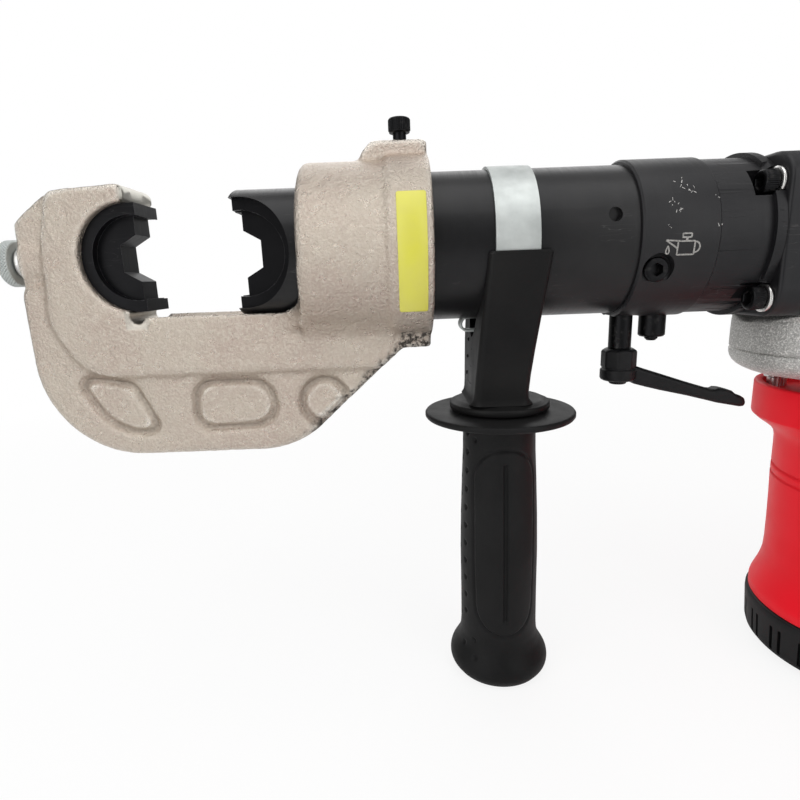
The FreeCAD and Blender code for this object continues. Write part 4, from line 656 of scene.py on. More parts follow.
@dataclass(frozen=True)
class EdgeWear:
    """How a frame node's edges are softened.

    Attributes:
        width: width of the bevel, in millimetres.
        angle: edges sharper than this are bevelled, in degrees.
    """

    width: float = 0.3
    angle: float = 32.0

    def apply(self, thing: bpy.types.Object, edge: Finish | None = None) -> None:
        """Welds the loose triangles, bevels their sharp edges and evens the normals.

        Args:
            thing: the node's object.
            edge: a finish of its own for the bevels.
        """
        thing.data.polygons.foreach_set("use_smooth", np.ones(len(thing.data.polygons), bool))
        weld = thing.modifiers.new("weld", "WELD")
        weld.merge_threshold = LOOSE
        if self.width > 0:
            bevel = thing.modifiers.new("bevel", "BEVEL")
            bevel.limit_method = "ANGLE"
            bevel.angle_limit = math.radians(self.angle)
            bevel.width = self.width * MM
            bevel.segments = 2
            bevel.use_clamp_overlap = True
            bevel.miter_outer = "MITER_ARC"
            if edge is not None:
                thing.data.materials.append(edge.material)
                bevel.material = 1
        normals = thing.modifiers.new("normals", "WEIGHTED_NORMAL")
        normals.keep_sharp = True


NODE_GROUPS: tuple[tuple[Finish, float, str], ...] = (
    (Finish.FORGED, 0.0, "c_head"),
    (Finish.DIE, 0.4, "fixed_die moving_die"),
    (Finish.RAM, 0.4, "ram"),
    (Finish.TUBE, 0.25, "cylinder_tube"),
    (Finish.PUMP, 0.25, "pump_body"),
    (Finish.PUMP, 0.4, "flange_block"),
    (Finish.SCREW, 0.2, "oil_plug lever_screw"),
    (Finish.SCREW, 0.3, "safety_valve release_spindle"),
    (Finish.BRIGHT, 0.2, "lock_bush clamp_bolt grip_nut lock_pin crankshaft crank_bearing_upper "
                         "crank_bearing_lower plunger motor_bearing_upper motor_bearing_lower"),
    (Finish.SCREW, 0.25, "lock_screw"),
    (Finish.ZINC, 0.25, "clamp_band"),
    (Finish.BRIGHT, 0.25, "lock_knob"),
    (Finish.BRIGHT, 0.1, "lock_spring return_spring lever_spring trigger_spring latch_spring crank_gear "
                         "rotor"),
    (Finish.BRIGHT, 0.15, "flange_washers"),
    (Finish.DARK_CAST, 0.3, "stator"),
    (Finish.RUBBER, 0.2, "piston_seal"),
    (Finish.LEVER, 0.3, "release_lever"),
    (Finish.CAST, 0.8, "gear_housing gear_cover"),
    (Finish.DARK_CAST, 0.4, "gear_top_cover"),
    (Finish.RED, 0.6, "motor_housing"),
    (Finish.YOKE, 0.5, "yoke"),
    (Finish.BLACK, 0.3, "base_cap"),
    (Finish.BLACK, 0.1, "fan"),
    (Finish.RED, 0.3, "handle_shell_left handle_shell_right"),
    (Finish.BLACK, 0.4, "switch battery_foot"),
    (Finish.BLACK, 0.5, "battery_case trigger"),
    (Finish.BUTTON, 0.4, "battery_latch"),
    (Finish.BOARD, 0.2, "control_board"),
    (Finish.RUBBER, 0.4, "side_grip"),
)
NODE_FINISHES = {node: (finish, width) for finish, width, nodes in NODE_GROUPS for node in nodes.split()}


SCREW_DRESS = (Finish.SCREW, 0.25)
EDGE_FINISHES: dict[str, Finish] = {
    "pump_body": Finish.RUBBED,
    # The dies' bevels carry a painted highlight.
    "fixed_die": Finish.DIE_EDGE,
    "moving_die": Finish.DIE_EDGE,
}


def dress_nodes() -> None:
    """Gives every node of the frame its finish and softened edges."""
    for name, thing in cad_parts.items():
        finish, width = NODE_FINISHES.get(name, SCREW_DRESS)
        dress(thing, finish)
        EdgeWear(width).apply(thing, EDGE_FINISHES.get(name))
        log.info("node %s wears %s", name, finish.name)


def read_points(mesh: bpy.types.Mesh, field: str = "co") -> np.ndarray:
    """Reads a vector of every vertex into an array of shape (n, 3)."""
    values = np.empty(len(mesh.vertices) * 3)
    mesh.vertices.foreach_get(field, values)
    return values.reshape(-1, 3)


def read_edges(mesh: bpy.types.Mesh) -> np.ndarray:
    """Reads the vertex pairs of every edge into an array of shape (n, 2)."""
    pairs = np.empty(len(mesh.edges) * 2, np.int64)
    mesh.edges.foreach_get("vertices", pairs)
    return pairs.reshape(-1, 2)


def neighbour_mean(values: np.ndarray, edges: np.ndarray) -> np.ndarray:
    """Mean of the neighbours of every vertex: sum over its edges divided by their number.

    Args:
        values: an array of shape (n, k).
        edges: vertex pairs.

    Returns:
        An array like values.
    """
    count = len(values)
    degree = np.maximum(np.bincount(edges.ravel(), minlength=count), 1)
    columns = [np.bincount(edges[:, 0], values[edges[:, 1], k], count)
               + np.bincount(edges[:, 1], values[edges[:, 0], k], count) for k in range(values.shape[1])]
    return np.stack(columns, axis=1) / degree[:, None]


def closed_copy(source: bpy.types.Object, name: str) -> bpy.types.Object:
    """Copies a frame node's mesh into a new object and joins its loose triangles."""
    thing = bpy.data.objects.new(name, source.data.copy())
    bpy.context.scene.collection.objects.link(thing)
    weld(thing, LOOSE)
    return thing


def weld(thing: bpy.types.Object, distance: float = SEAM) -> None:
    """Joins vertices closer than a distance, which also closes the poles, and turns faces outwards."""
    net = bmesh.new()
    net.from_mesh(thing.data)
    bmesh.ops.remove_doubles(net, verts=net.verts, dist=distance)
    bmesh.ops.dissolve_degenerate(net, edges=net.edges, dist=distance / 4)
    bmesh.ops.recalc_face_normals(net, faces=net.faces)
    net.to_mesh(thing.data)
    net.free()


def closed_object(name: str, surface: tuple[np.ndarray, np.ndarray], distance: float = SEAM,
                  shade: Shade = Shade.SMOOTH) -> bpy.types.Object:
    """Puts a surface into a new object and welds its seams and poles.

    Args:
        name: the object's name.
        surface: points and faces.
        distance: points closer than this are joined, in metres.
        shade: smooth or flat shading.

    Returns:
        The linked object.
    """
    thing = make_object(name, *surface, shade)
    weld(thing, distance)
    return thing


def settle(thing: bpy.types.Object) -> None:
    """Replaces an object's mesh by what its modifiers make of it."""
    graph = bpy.context.evaluated_depsgraph_get()
    mesh = bpy.data.meshes.new_from_object(thing.evaluated_get(graph))
    thing.modifiers.clear()
    thing.data = mesh


def carve(thing: bpy.types.Object, cutters: Sequence[bpy.types.Object], kind: str = "DIFFERENCE") -> None:
    """Cuts closed shapes out of an object, or joins them to it, and removes the shapes."""
    for cutter in cutters:
        cut = thing.modifiers.new("cut", "BOOLEAN")
        cut.operation = kind
        cut.solver = "EXACT"
        cut.object = cutter
    settle(thing)
    for cutter in cutters:
        bpy.data.objects.remove(cutter)


def soften(thing: bpy.types.Object, width: float, angle: float = 35.0, segments: int = 3) -> None:
    """Rounds sharp edges by a bevel of a width in millimetres and shades them evenly."""
    thing.data.polygons.foreach_set("use_smooth", np.ones(len(thing.data.polygons), bool))
    bevel = thing.modifiers.new("bevel", "BEVEL")
    bevel.limit_method = "ANGLE"
    bevel.angle_limit = math.radians(angle)
    bevel.width = width * MM
    bevel.segments = segments
    bevel.miter_outer = "MITER_ARC"
    thing.modifiers.new("normals", "WEIGHTED_NORMAL").keep_sharp = True


def fit(thing: bpy.types.Object, finish: Finish, body: str, slot: str, *nodes: str) -> bpy.types.Object:
    """Dresses a piece, makes it ride with a body and hides the nodes it stands for.

    Args:
        thing: the piece.
        finish: its finish.
        body: the frame's body that carries it.
        slot: the record's material slot; not used.
        nodes: frame nodes that it replaces.

    Returns:
        The piece.
    """
    dress(thing, finish)
    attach(thing, body)
    if nodes:
        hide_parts(*nodes)
    log.info("piece %s rides with %s", thing.name, body)
    return thing


def loft_surface(loops: np.ndarray) -> tuple[np.ndarray, np.ndarray]:
    """Skins closed loops and closes both ends on their middle points.

    Args:
        loops: an array of shape (rows, steps, 3), in metres, the loops anticlockwise seen against the loft.

    Returns:
        The points and quads.
    """
    ends = [np.repeat(loops[k].mean(axis=0)[None, :], loops.shape[1], axis=0) for k in (0, -1)]
    ends = [end + (loops[k] - end) * 1e-6 for end, k in zip(ends, (0, -1))]
    rows = np.concatenate([ends[0][None], loops, ends[1][None]])
    return rows, grid_faces(rows.shape[0], rows.shape[1], True)


def corner_turns(steps: int) -> np.ndarray:
    """Angles of the points on four corners, each corner a quarter turn in even steps."""
    number = np.arange(4 * steps)
    return number // steps * (TAU / 4) + number % steps * (TAU / 4) / (steps - 1)


def rounded_loop(low: tuple[float, float], high: tuple[float, float], corner: float,
                 steps: int) -> np.ndarray:
    """Anticlockwise rectangle with round corners.

    Args:
        low: lowest corner.
        high: highest corner.
        corner: radius of the corners.
        steps: points on each corner.

    Returns:
        An array of shape (4 * steps, 2).
    """
    corner = min(corner, (high[0] - low[0]) / 2, (high[1] - low[1]) / 2)
    turn = corner_turns(steps)
    middle_x = np.repeat([high[0] - corner, low[0] + corner, low[0] + corner, high[0] - corner], steps)
    middle_y = np.repeat([high[1] - corner, high[1] - corner, low[1] + corner, low[1] + corner], steps)
    return np.stack([middle_x + corner * np.cos(turn), middle_y + corner * np.sin(turn)], axis=1)


def plan_loop(front: float, rear: float, half: float, nose: float, tail: float, steps: int) -> np.ndarray:
    """Anticlockwise plan of a housing: a rectangle whose front and rear corners have radii of their own.

    Args:
        front: its foremost place along the tool.
        rear: its rearmost place.
        half: half its width.
        nose: radius of the two front corners.
        tail: radius of the two rear corners.
        steps: points on each corner.

    Returns:
        An array of shape (4 * steps, 2).
    """
    turn = corner_turns(steps)
    corner = np.repeat([tail, nose, nose, tail], steps)
    middle_x = np.repeat([rear - tail, front + nose, front + nose, rear - tail], steps)
    middle_y = np.repeat([half - tail, half - nose, nose - half, tail - half], steps)
    return np.stack([middle_x + corner * np.cos(turn), middle_y + corner * np.sin(turn)], axis=1)


def level_section(flat: np.ndarray, height: float) -> np.ndarray:
    """Puts an (along, across) outline at a height above the ram axis."""
    return AXIS.spread(np.column_stack([flat, np.full(len(flat), height)]))


def cross_section(flat: np.ndarray, along: float) -> np.ndarray:
    """Puts an (across, up) outline at a place along the tool."""
    return AXIS.spread(np.column_stack([np.full(len(flat), along), flat]))


def housing_surface(rows: Sequence[tuple[float, ...]], steps: int) -> tuple[np.ndarray, np.ndarray]:
    """Skins plans one below another. Each row is a height and the plan's five sizes, in millimetres."""
    return loft_surface(np.array([level_section(plan_loop(*row[1:], steps), row[0]) for row in rows]))


def curve_through(points: Sequence[tuple[float, ...]], count: int) -> np.ndarray:
    """Evenly spaced points on straight runs between the given points."""
    line = np.array(points, float)
    walked = np.concatenate([[0.0], np.cumsum(np.linalg.norm(np.diff(line, axis=0), axis=1))])
    places = np.linspace(0.0, walked[-1], count)
    return np.stack([np.interp(places, walked, line[:, k]) for k in range(line.shape[1])], axis=1)


@dataclass(frozen=True)
class Forging:
    """The C-head with the soft, hammered skin of a forging. Its machined seats stay true.

    Attributes:
        voxel: step of the skin, in millimetres.
        passes: smoothing passes over the forged skin.
        lumps: depth and length of the skin's unevenness, in millimetres.
        floor_passes: passes that spread a pocket's wall over its floor.
        pillow_rise: how far the middle of a pocket's floor stands up, in millimetres.
        barrel_front: where the barrel's bore ends, behind the head's rear face, in millimetres.
        jaw_half: half the height in which the jaw's face stays true, in millimetres.
        lock_front: the lock pin's bore lies in front of this, in millimetres.
        lock_radius: radius round the ram axis that stays true there, in millimetres.
        pocket_top: the pockets lie below this height, in millimetres.
        soot_slope: slope of the C's rear edge, in degrees.
        soot_start: a place on that edge, along and up, in millimetres.
        slant: outline of what is cut off the nose, along and up, in millimetres.
    """

    voxel: float = 1.1
    passes: int = 3
    lumps: tuple[tuple[float, float], ...] = ((0.05, 14.0), (0.045, 5.0), (0.05, 2.6))
    floor_passes: int = 12
    pillow_rise: float = 2.3
    barrel_front: float = -58.0
    jaw_half: float = 34.0
    lock_front: float = -150.0
    lock_radius: float = 9.0
    pocket_top: float = -50.0
    soot_slope: float = 42.3
    soot_start: tuple[float, float] = (-14.0, -44.5)
    slant: tuple[tuple[float, float], ...] = (
        (-170.5, 32.4), (-185.2, 16.2), (-185.2, -13.0), (-187.6, -15.0), (-187.6, -60.0), (-215.0, -60.0),
        (-215.0, 60.0), (-170.5, 60.0))

    def local(self, points: np.ndarray) -> tuple[np.ndarray, np.ndarray, np.ndarray]:
        """Millimetres behind the head's rear face, across and above the ram axis."""
        return (points[:, 0] - AXIS.x) / MM, points[:, 1] / MM, (points[:, 2] - AXIS.z) / MM

    def forged_share(self, points: np.ndarray) -> np.ndarray:
        """1 on the forged skin, 0 in the bores, the die seat and on the machined faces."""
        along, across, up = self.local(points)
        die_low, die_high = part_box("fixed_die")
        radius = (die_high.z - die_low.z) / 2 / MM
        flat = (die_low.x - AXIS.x) / MM + radius
        bore = np.hypot(across, up)
        tube = (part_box("cylinder_tube")[1].z - AXIS.z) / MM
        share = smooth_step(tube + 1.0, tube + 2.4, bore)
        share = np.where(along < self.barrel_front, 1.0, share)
        seat = np.hypot(along - flat, up)
        share *= np.where(along < flat + 1.5, smooth_step(radius + 0.7, radius + 2.4, seat), 1.0)
        jaw_face = smooth_step(0.5, 2.0, np.abs(along - flat - 0.5))
        share *= np.where((np.abs(up) < self.jaw_half) & (along < flat + 3), jaw_face, 1.0)
        share *= smooth_step(0.4, 1.6, -along)
        share *= np.where((along < self.lock_front) & (bore < self.lock_radius), 0.0, 1.0)
        return share * (1.0 - self.machined_share(points))

    def machined_share(self, points: np.ndarray) -> np.ndarray:
        """1 where a cutter has left the jaw's two tips bright."""
        along, across, up = self.local(points)
        flat = (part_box("fixed_die")[1].x - AXIS.x) / MM
        upper = smooth_step(-134.6, -133.9, along) * (up > 15.0) * (along < -125)
        lower = smooth_step(-139.6, -139.0, along) * (np.abs(up + 27.6) < 4.6) * (along < flat + 1)
        return np.clip(np.maximum(upper, lower * 0.6), 0.0, 1.0)

    def pillow(self, points: np.ndarray, edges: np.ndarray) -> np.ndarray:
        """How far the pockets' floors swell: a mask of the floors, evened over neighbours.

        Args:
            points: an array of shape (n, 3), in metres.
            edges: vertex pairs.

        Returns:
            One share for each point, 1 in the middle of a floor and 0 at its walls.
        """
        across, up = self.local(points)[1:]
        deep = smooth_step(10.8, 9.9, np.abs(across)) * (np.abs(across) > 8.5)
        floor = (deep * (up < self.pocket_top))[:, None]
        spread = floor
        for _ in range(self.floor_passes):
            spread = neighbour_mean(spread, edges)
        return (floor * smooth_step(0.66, 0.95, spread))[:, 0]

    def soot_share(self, points: np.ndarray) -> np.ndarray:
        """Dark weathering along the C's slanting rear edge and round the lug."""
        along, across, up = self.local(points)
        slope = math.radians(self.soot_slope)
        run, rise = along - self.soot_start[0], up - self.soot_start[1]
        gap = np.abs(run * math.sin(slope) - rise * math.cos(slope))
        edge = smooth_step(4.6, 0.6, gap + bump_noise(points, 0.005, 4) * 1.7)
        edge *= (up < -38) & (up > -84)
        lug = smooth_step(-34.5, -39.5, up + bump_noise(points, 0.004, 9) * 2.0) * (along > -15)
        return np.clip(edge + lug, 0.0, 1.0)

    def trim(self, thing: bpy.types.Object) -> None:
        """Shortens the nose and slants its front."""
        corners = np.array(self.slant)
        loops = np.stack([np.insert(corners, 1, across, axis=1) for across in (-60.0, 60.0)])
        carve(thing, [closed_object("nose_front", loft_surface(AXIS.spread(loops)))])

    def build(self) -> bpy.types.Object:
        """Remeshes the node, smooths it by share, adds lumps and writes into attributes the rubbed wear and
        painted highlight of its convex edges, the grime and painted shade of its hollows, the machined tips
        and the soot.
        """
        thing = closed_copy(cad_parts["c_head"], "head_forging")
        self.trim(thing)
        remesh = thing.modifiers.new("skin", "REMESH")
        remesh.mode = "VOXEL"
        remesh.voxel_size = self.voxel * MM
        settle(thing)
        mesh = thing.data
        points = read_points(mesh)
        edges = read_edges(mesh)
        forged = self.forged_share(points)[:, None]
        evened = np.maximum(forged, self.machined_share(points)[:, None])
        for step in range(self.passes):
            share = np.maximum(evened, 0.45 if step < 2 else 0.0)
            points += (neighbour_mean(points, edges) - points) * 0.8 * share
        mesh.vertices.foreach_set("co", points.ravel())
        mesh.update()
        normals = read_points(mesh, "normal")
        swell = self.pillow(points, edges) * self.pillow_rise
        for seed, (depth, length) in enumerate(self.lumps):
            swell += bump_noise(points, length * MM, 31 + seed) * depth * forged[:, 0]
        machined = self.machined_share(points)
        points += normals * (swell * (1.0 - machined) * MM)[:, None]
        mesh.vertices.foreach_set("co", points.ravel())
        mesh.polygons.foreach_set("use_smooth", np.ones(len(mesh.polygons), bool))
        mesh.update()
        normals = read_points(mesh, "normal")
        bend = ((neighbour_mean(points, edges) - points) * normals).sum(axis=1)[:, None] / MM
        for _ in range(2):
            bend = neighbour_mean(bend, edges)
        # worn: the convex edges, for rubbed wear and a painted highlight.
        self.write(mesh, "worn", smooth_step(0.03, 0.11, -bend[:, 0]) * forged[:, 0])
        # hollow: the concave places, for grime and painted shade.
        self.write(mesh, "hollow", smooth_step(0.03, 0.10, bend[:, 0]))
        self.write(mesh, "machined", machined)
        self.write(mesh, "soot", self.soot_share(points))
        return fit(thing, Finish.FORGED, "head", "forged_nickel", "c_head")

    def write(self, mesh: bpy.types.Mesh, name: str, values: np.ndarray) -> None:
        """Stores one value for each vertex for the material to read."""
        mesh.attributes.new(name, "FLOAT", "POINT").data.foreach_set("value", values.astype(np.float32))


@dataclass(frozen=True)
class CollarLabel:
    """Bare foil label bent round the near side of the head's collar.

    Attributes:
        along: its two ends behind the head's rear face, in millimetres.
        up: its lower and upper ends above the ram axis, in millimetres.
        radius: radius of the collar under it, in millimetres.
        proud: its thickness over the collar, in millimetres.
        corner: radius of its corners, in millimetres.
    """

    along: tuple[float, float] = (-14.9, -2.9)
    up: tuple[float, float] = (-27.0, 20.5)
    radius: float = 40.56
    proud: float = 0.3
    corner: float = 0.9

    def build(self) -> bpy.types.Object:
        """Sweeps a flat section round the collar. The section narrows by a circle's rule near both ends."""
        low, high = (math.asin(v / self.radius) * self.radius for v in self.up)
        near = self.corner * (1 - np.cos(np.linspace(0, TAU / 4, 8)))
        middle = np.linspace(low + self.corner * 1.2, high - self.corner * 1.2, 90)
        arc = np.concatenate([low + near, middle, high - near[::-1]])
        gap = np.minimum(arc - low, high - arc)
        gap = np.clip(gap, 0.0, self.corner)
        narrow = self.corner - np.sqrt(np.maximum(self.corner ** 2 - (self.corner - gap) ** 2, 0.0))
        left, right = self.along[0] + narrow, self.along[1] - narrow
        section = [(left, -0.5), (left, self.proud - 0.1), (left + 0.15, self.proud),
                   (right - 0.15, self.proud), (right, self.proud - 0.1), (right, -0.5)]
        turn = arc / self.radius
        rings = [(along, self.radius + lift) for along, lift in section]
        loops = np.stack([np.stack([along, -reach * np.cos(turn), reach * np.sin(turn)], axis=1)
                          for along, reach in rings], axis=1)
        thing = closed_object("collar_label", loft_surface(AXIS.spread(loops)), LOOSE)
        return fit(thing, Finish.LABEL, "head", "red_plastic")


@dataclass(frozen=True)
class SocketScrew:
    """Socket screw whose head is knurled, in place of a frame node.

    Attributes:
        node: the frame's node.
        body: the body that carries it.
        direction: from the head to the tip.
        head: height of the head, in millimetres.
        shank: radius of the shank, in millimetres.
        ridges: number of knurls round the head.
        drop: how far it is lowered, in millimetres.
    """

    node: str
    body: str
    direction: str
    head: float = 6.0
    shank: float = 3.0
    ridges: int = 36
    drop: float = 0.0

    def build(self) -> bpy.types.Object:
        """Rows run from the socket's floor over the rim and down the shank."""
        low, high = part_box(self.node)
        axis = "xyz".index(self.direction[1])
        middle = (low + high) / 2
        origin = [middle.x, middle.y, middle.z]
        origin[axis] = low[axis] if self.direction[0] == "+" else high[axis]
        origin[2] -= self.drop * MM
        length = (high[axis] - low[axis]) / MM
        radius = (high[(axis + 1) % 3] - low[(axis + 1) % 3]) / 2 / MM
        turn = np.arange(self.ridges * 8) * TAU / (self.ridges * 8)
        across = self.shank * 0.83
        hexagon = across / np.cos((turn + TAU / 12) % (TAU / 6) - TAU / 12)
        knurl = radius - 0.16 + 0.16 * np.cos(turn * self.ridges)
        flat = np.ones_like(turn)
        edge = 0.5
        socket = [(self.head * 0.6, flat * 0), (self.head * 0.6, hexagon * 0.98), (self.head * 0.55, hexagon),
                  (0.35, hexagon), (0.0, hexagon + 0.28)]
        head = [(0.0, flat * (radius - edge - 0.35)), (0.12, flat * (radius - edge)),
                (edge, flat * (radius - 0.2)), (edge + 0.35, knurl), (self.head - 0.9, knurl),
                (self.head - 0.6, flat * (radius - 0.35)), (self.head, flat * (radius - 0.4))]
        shank = [(self.head, flat * self.shank), (length - 0.6, flat * self.shank),
                 (length, flat * (self.shank - 0.6)), (length, flat * 0)]
        surface = polar_rows(socket + head + shank, origin, self.direction)
        thing = closed_object(self.node + "_knurled", surface)
        soften(thing, 0.08, 40.0, 1)
        return fit(thing, Finish.SCREW, self.body, "screw_steel", self.node)


@dataclass(frozen=True)
class PullKnob:
    """Zinc plated pull knob of the die lock with a crossed knurl, and the bush that its pin runs in.

    Attributes:
        ridges: number of ridges round the knob.
        start: the knob's front behind the head's rear face, in millimetres.
        length: the knob's length.
        nub: how far the riveted end of the pin stands in front of the knob.
    """

    ridges: int = 44
    start: float = -195.9
    length: float = 5.4
    nub: float = 3.5

    def build(self) -> bpy.types.Object:
        """The knurl is the product of two screw waves that cross each other."""
        low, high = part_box("lock_knob")
        radius = (high.z - low.z) / 2 / MM
        turn = np.arange(self.ridges * 8) * TAU / (self.ridges * 8)
        flat = np.ones_like(turn)
        rows = [(-self.nub, flat * 0), (-self.nub, flat * 3.6), (-self.nub + 0.5, flat * 4.3),
                (0.0, flat * 4.5), (0.0, flat * (radius - 1.0)), (0.4, flat * (radius - 0.35))]
        for place in np.linspace(0.7, self.length - 0.9, 15):
            wave = np.maximum(np.abs(np.sin(turn * self.ridges / 2 + place * 2.2)),
                              np.abs(np.sin(turn * self.ridges / 2 - place * 2.2)))
            rows.append((place, radius - 0.45 * (1.0 - wave) * 3.0))
        rows += [(self.length - 0.6, flat * (radius - 0.4)), (self.length, flat * (radius - 1.2)),
                 (self.length, flat * 4.2), (0.8, flat * 4.2), (0.8, flat * 0)]
        thing = closed_object("lock_knob_knurled", polar_rows(rows, AXIS.place(self.start, 0, 0), "+x"))
        soften(thing, 0.1, 50.0, 1)
        self.bush()
        return fit(thing, Finish.ZINC, "die_lock", "bright_steel", "lock_knob")

    def bush(self) -> bpy.types.Object:
        """Turned neck between the knob and the head's nose."""
        profile = [(0.0, 4.3), (0.0, 6.6), (0.4, 7.2), (0.9, 7.4), (5.4, 7.4), (5.8, 7.0), (8.0, 7.0),
                   (8.0, 4.3), (0.0, 4.3)]
        origin = AXIS.place(self.start + self.length + 0.5, 0, 0)
        thing = closed_object("lock_neck", ring_surface(profile, 80, origin, "+x"))
        soften(thing, 0.12, 50.0, 1)
        return fit(thing, Finish.BRIGHT, "head", "bright_steel", "lock_bush")


@dataclass(frozen=True)
class SideGrip:
    """Rubber side grip: guard disc, waisted handle with raised panels, a slit and dimples, flared foot.

    Attributes:
        panel: heights of the panel's foot and top above the ram axis, in millimetres.
        slit: the same of the slit.
        panel_half: half the panel's width round the grip, in millimetres.
        dimple_pitch: between the dimples of a column, in millimetres.
        dimple_top: height of the first dimple above the ram axis, in millimetres.
        dimple_size: how far a dimple reaches, in millimetres.
        columns: angle from the near side, in degrees, and phase of each column of dimples.
        extras: angle and height of the dimples outside the columns.
        steps: points round the grip.
    """

    panel: tuple[float, float] = (-194.7, -94.9)
    slit: tuple[float, float] = (-186.0, -102.4)
    panel_half: float = 17.0
    dimple_pitch: float = 9.8
    dimple_top: float = -88.5
    dimple_size: float = 1.15
    columns: tuple[tuple[float, float], ...] = ((-68.0, 0.0), (-90.0, 0.5), (-112.0, 0.0))
    extras: tuple[tuple[float, float], ...] = (
        (-50.0, -91.0), (-130.0, -91.0), (-48.0, -200.5), (-132.0, -200.5), (-66.0, -205.0), (-42.0, -208.5),
        (-114.0, -205.0))
    steps: int = 264

    def profile(self, top: float, guard: float) -> np.ndarray:
        """(depth, radius) pairs from the bore over the guard disc and down the handle."""
        swell = [(3.2, 21.5), (3.6, 19.6), (5.2, 18.3), (7.5, 18.0), (20.0, 18.2), (36.0, 18.9), (55.0, 19.6),
                 (75.0, 20.0), (100.0, 19.9), (117.5, 20.0), (123.0, 20.4), (127.5, 21.8), (131.0, 23.9),
                 (134.0, 25.6), (137.0, 26.25), (139.6, 25.9), (141.8, 24.6), (143.2, 22.6)]
        disc = [(34.0, 0.0), (34.0, 4.6), (0.6, 4.6), (0.0, 5.2), (0.0, 9.0), (0.0, 24.9), (0.0, guard - 1.3),
                (0.25, guard - 0.5), (0.9, guard), (2.2, guard), (2.9, guard - 0.5), (3.2, guard - 1.4),
                (3.2, 30.0), (3.2, 22.6)]
        line = np.array(swell)
        fine = np.arange(line[0, 0], line[-1, 0], 0.62)
        body = np.stack([fine, np.interp(fine, line[:, 0], line[:, 1])], axis=1)
        kernel = np.hanning(9) / np.hanning(9).sum()
        padded = np.pad(body[:, 1], 4, mode="edge")
        body[:, 1] = np.convolve(padded, kernel, mode="valid")
        foot = [(143.5, 21.8), (143.5, 20.6), (142.6, 19.6), (142.6, 9.0), (143.3, 8.4), (143.3, 0.0)]
        return np.concatenate([np.array(disc), body, np.array(foot)])

    def relief(self, height: np.ndarray, turn: np.ndarray, radius: np.ndarray) -> np.ndarray:
        """Outward shift of the handle's skin: panels and slits on both faces, dimples between them.

        Args:
            height: heights above the ram axis, of shape (rows, 1).
            turn: angle from the near side towards the rear, of shape (1, steps).
            radius: radius of each row, of shape (rows, 1).

        Returns:
            An array of shape (rows, steps), in millimetres.
        """
        face = (turn + TAU / 4) % (TAU / 2) - TAU / 4
        side = face * radius
        middle = sum(self.panel) / 2
        half = (self.panel[1] - self.panel[0]) / 2
        width = self.panel_half - 1.2 * smooth_step(-150.0, -195.0, height)
        reach = np.hypot(side, np.maximum(np.abs(height - middle) - (half - width), 0.0)) - width
        shift = 0.45 * smooth_step(0.4, -1.6, reach) - 0.75 * np.exp(-(reach / 0.75) ** 2)
        beyond = np.abs(height - sum(self.slit) / 2) - (self.slit[1] - self.slit[0]) / 2
        slit = np.hypot(np.maximum(np.abs(side) - 0.55, 0.0), np.maximum(beyond, 0.0))
        shift -= 1.5 * np.exp(-(slit / 0.55) ** 2)
        for angle, phase in self.columns:
            row = (self.dimple_top - height) / self.dimple_pitch - phase
            nearest = (row - np.clip(np.round(row), 0, 10)) * self.dimple_pitch
            shift -= 1.3 * self.dimple(turn, angle, radius, nearest)
        for angle, place in self.extras:
            shift -= 0.9 * self.dimple(turn, angle, radius, height - place)
        inside = smooth_step(-83.0, -86.0, height) * smooth_step(-219.0, -212.0, height)
        return shift * inside

    def dimple(self, turn: np.ndarray, angle: float, radius: np.ndarray, off: np.ndarray) -> np.ndarray:
        """Bell that falls with the fourth power of the distance from a dimple's middle.

        Args:
            turn: angle of each point from the near side.
            angle: the dimple's angle, in degrees.
            radius: radius of each row, in millimetres.
            off: height of each point over the dimple, in millimetres.

        Returns:
            Its depth at each point, from 0 to 1.
        """
        around = ((turn - math.radians(angle) + math.pi) % TAU - math.pi) * radius
        return np.exp(-((around / self.dimple_size) ** 2 + (off / self.dimple_size) ** 2) ** 2)

    def build(self) -> bpy.types.Object:
        """Turns the profile about the bolt's axis and adds the relief."""
        low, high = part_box("side_grip")
        middle = (low.x + high.x) / 2
        top = (high.z - AXIS.z) / MM
        line = self.profile(top, (high.x - low.x) / 2 / MM)
        turn = np.arange(self.steps) * TAU / self.steps
        radius = np.repeat(line[:, 1:], self.steps, axis=1)
        shift = self.relief(top - line[:, :1], -turn[None, :] - TAU / 4, np.maximum(line[:, 1:], 1.0))
        skin = (np.arange(len(line)) > 13) & (np.arange(len(line)) < len(line) - 6)
        radius += np.where(skin[:, None], shift, 0.0)
        thing = closed_object("grip_rubber", polar_surface(line[:, 0], radius, (middle, 0.0, high.z), "-z"))
        return fit(thing, Finish.RUBBER, "side_grip", "grip_rubber", "side_grip")


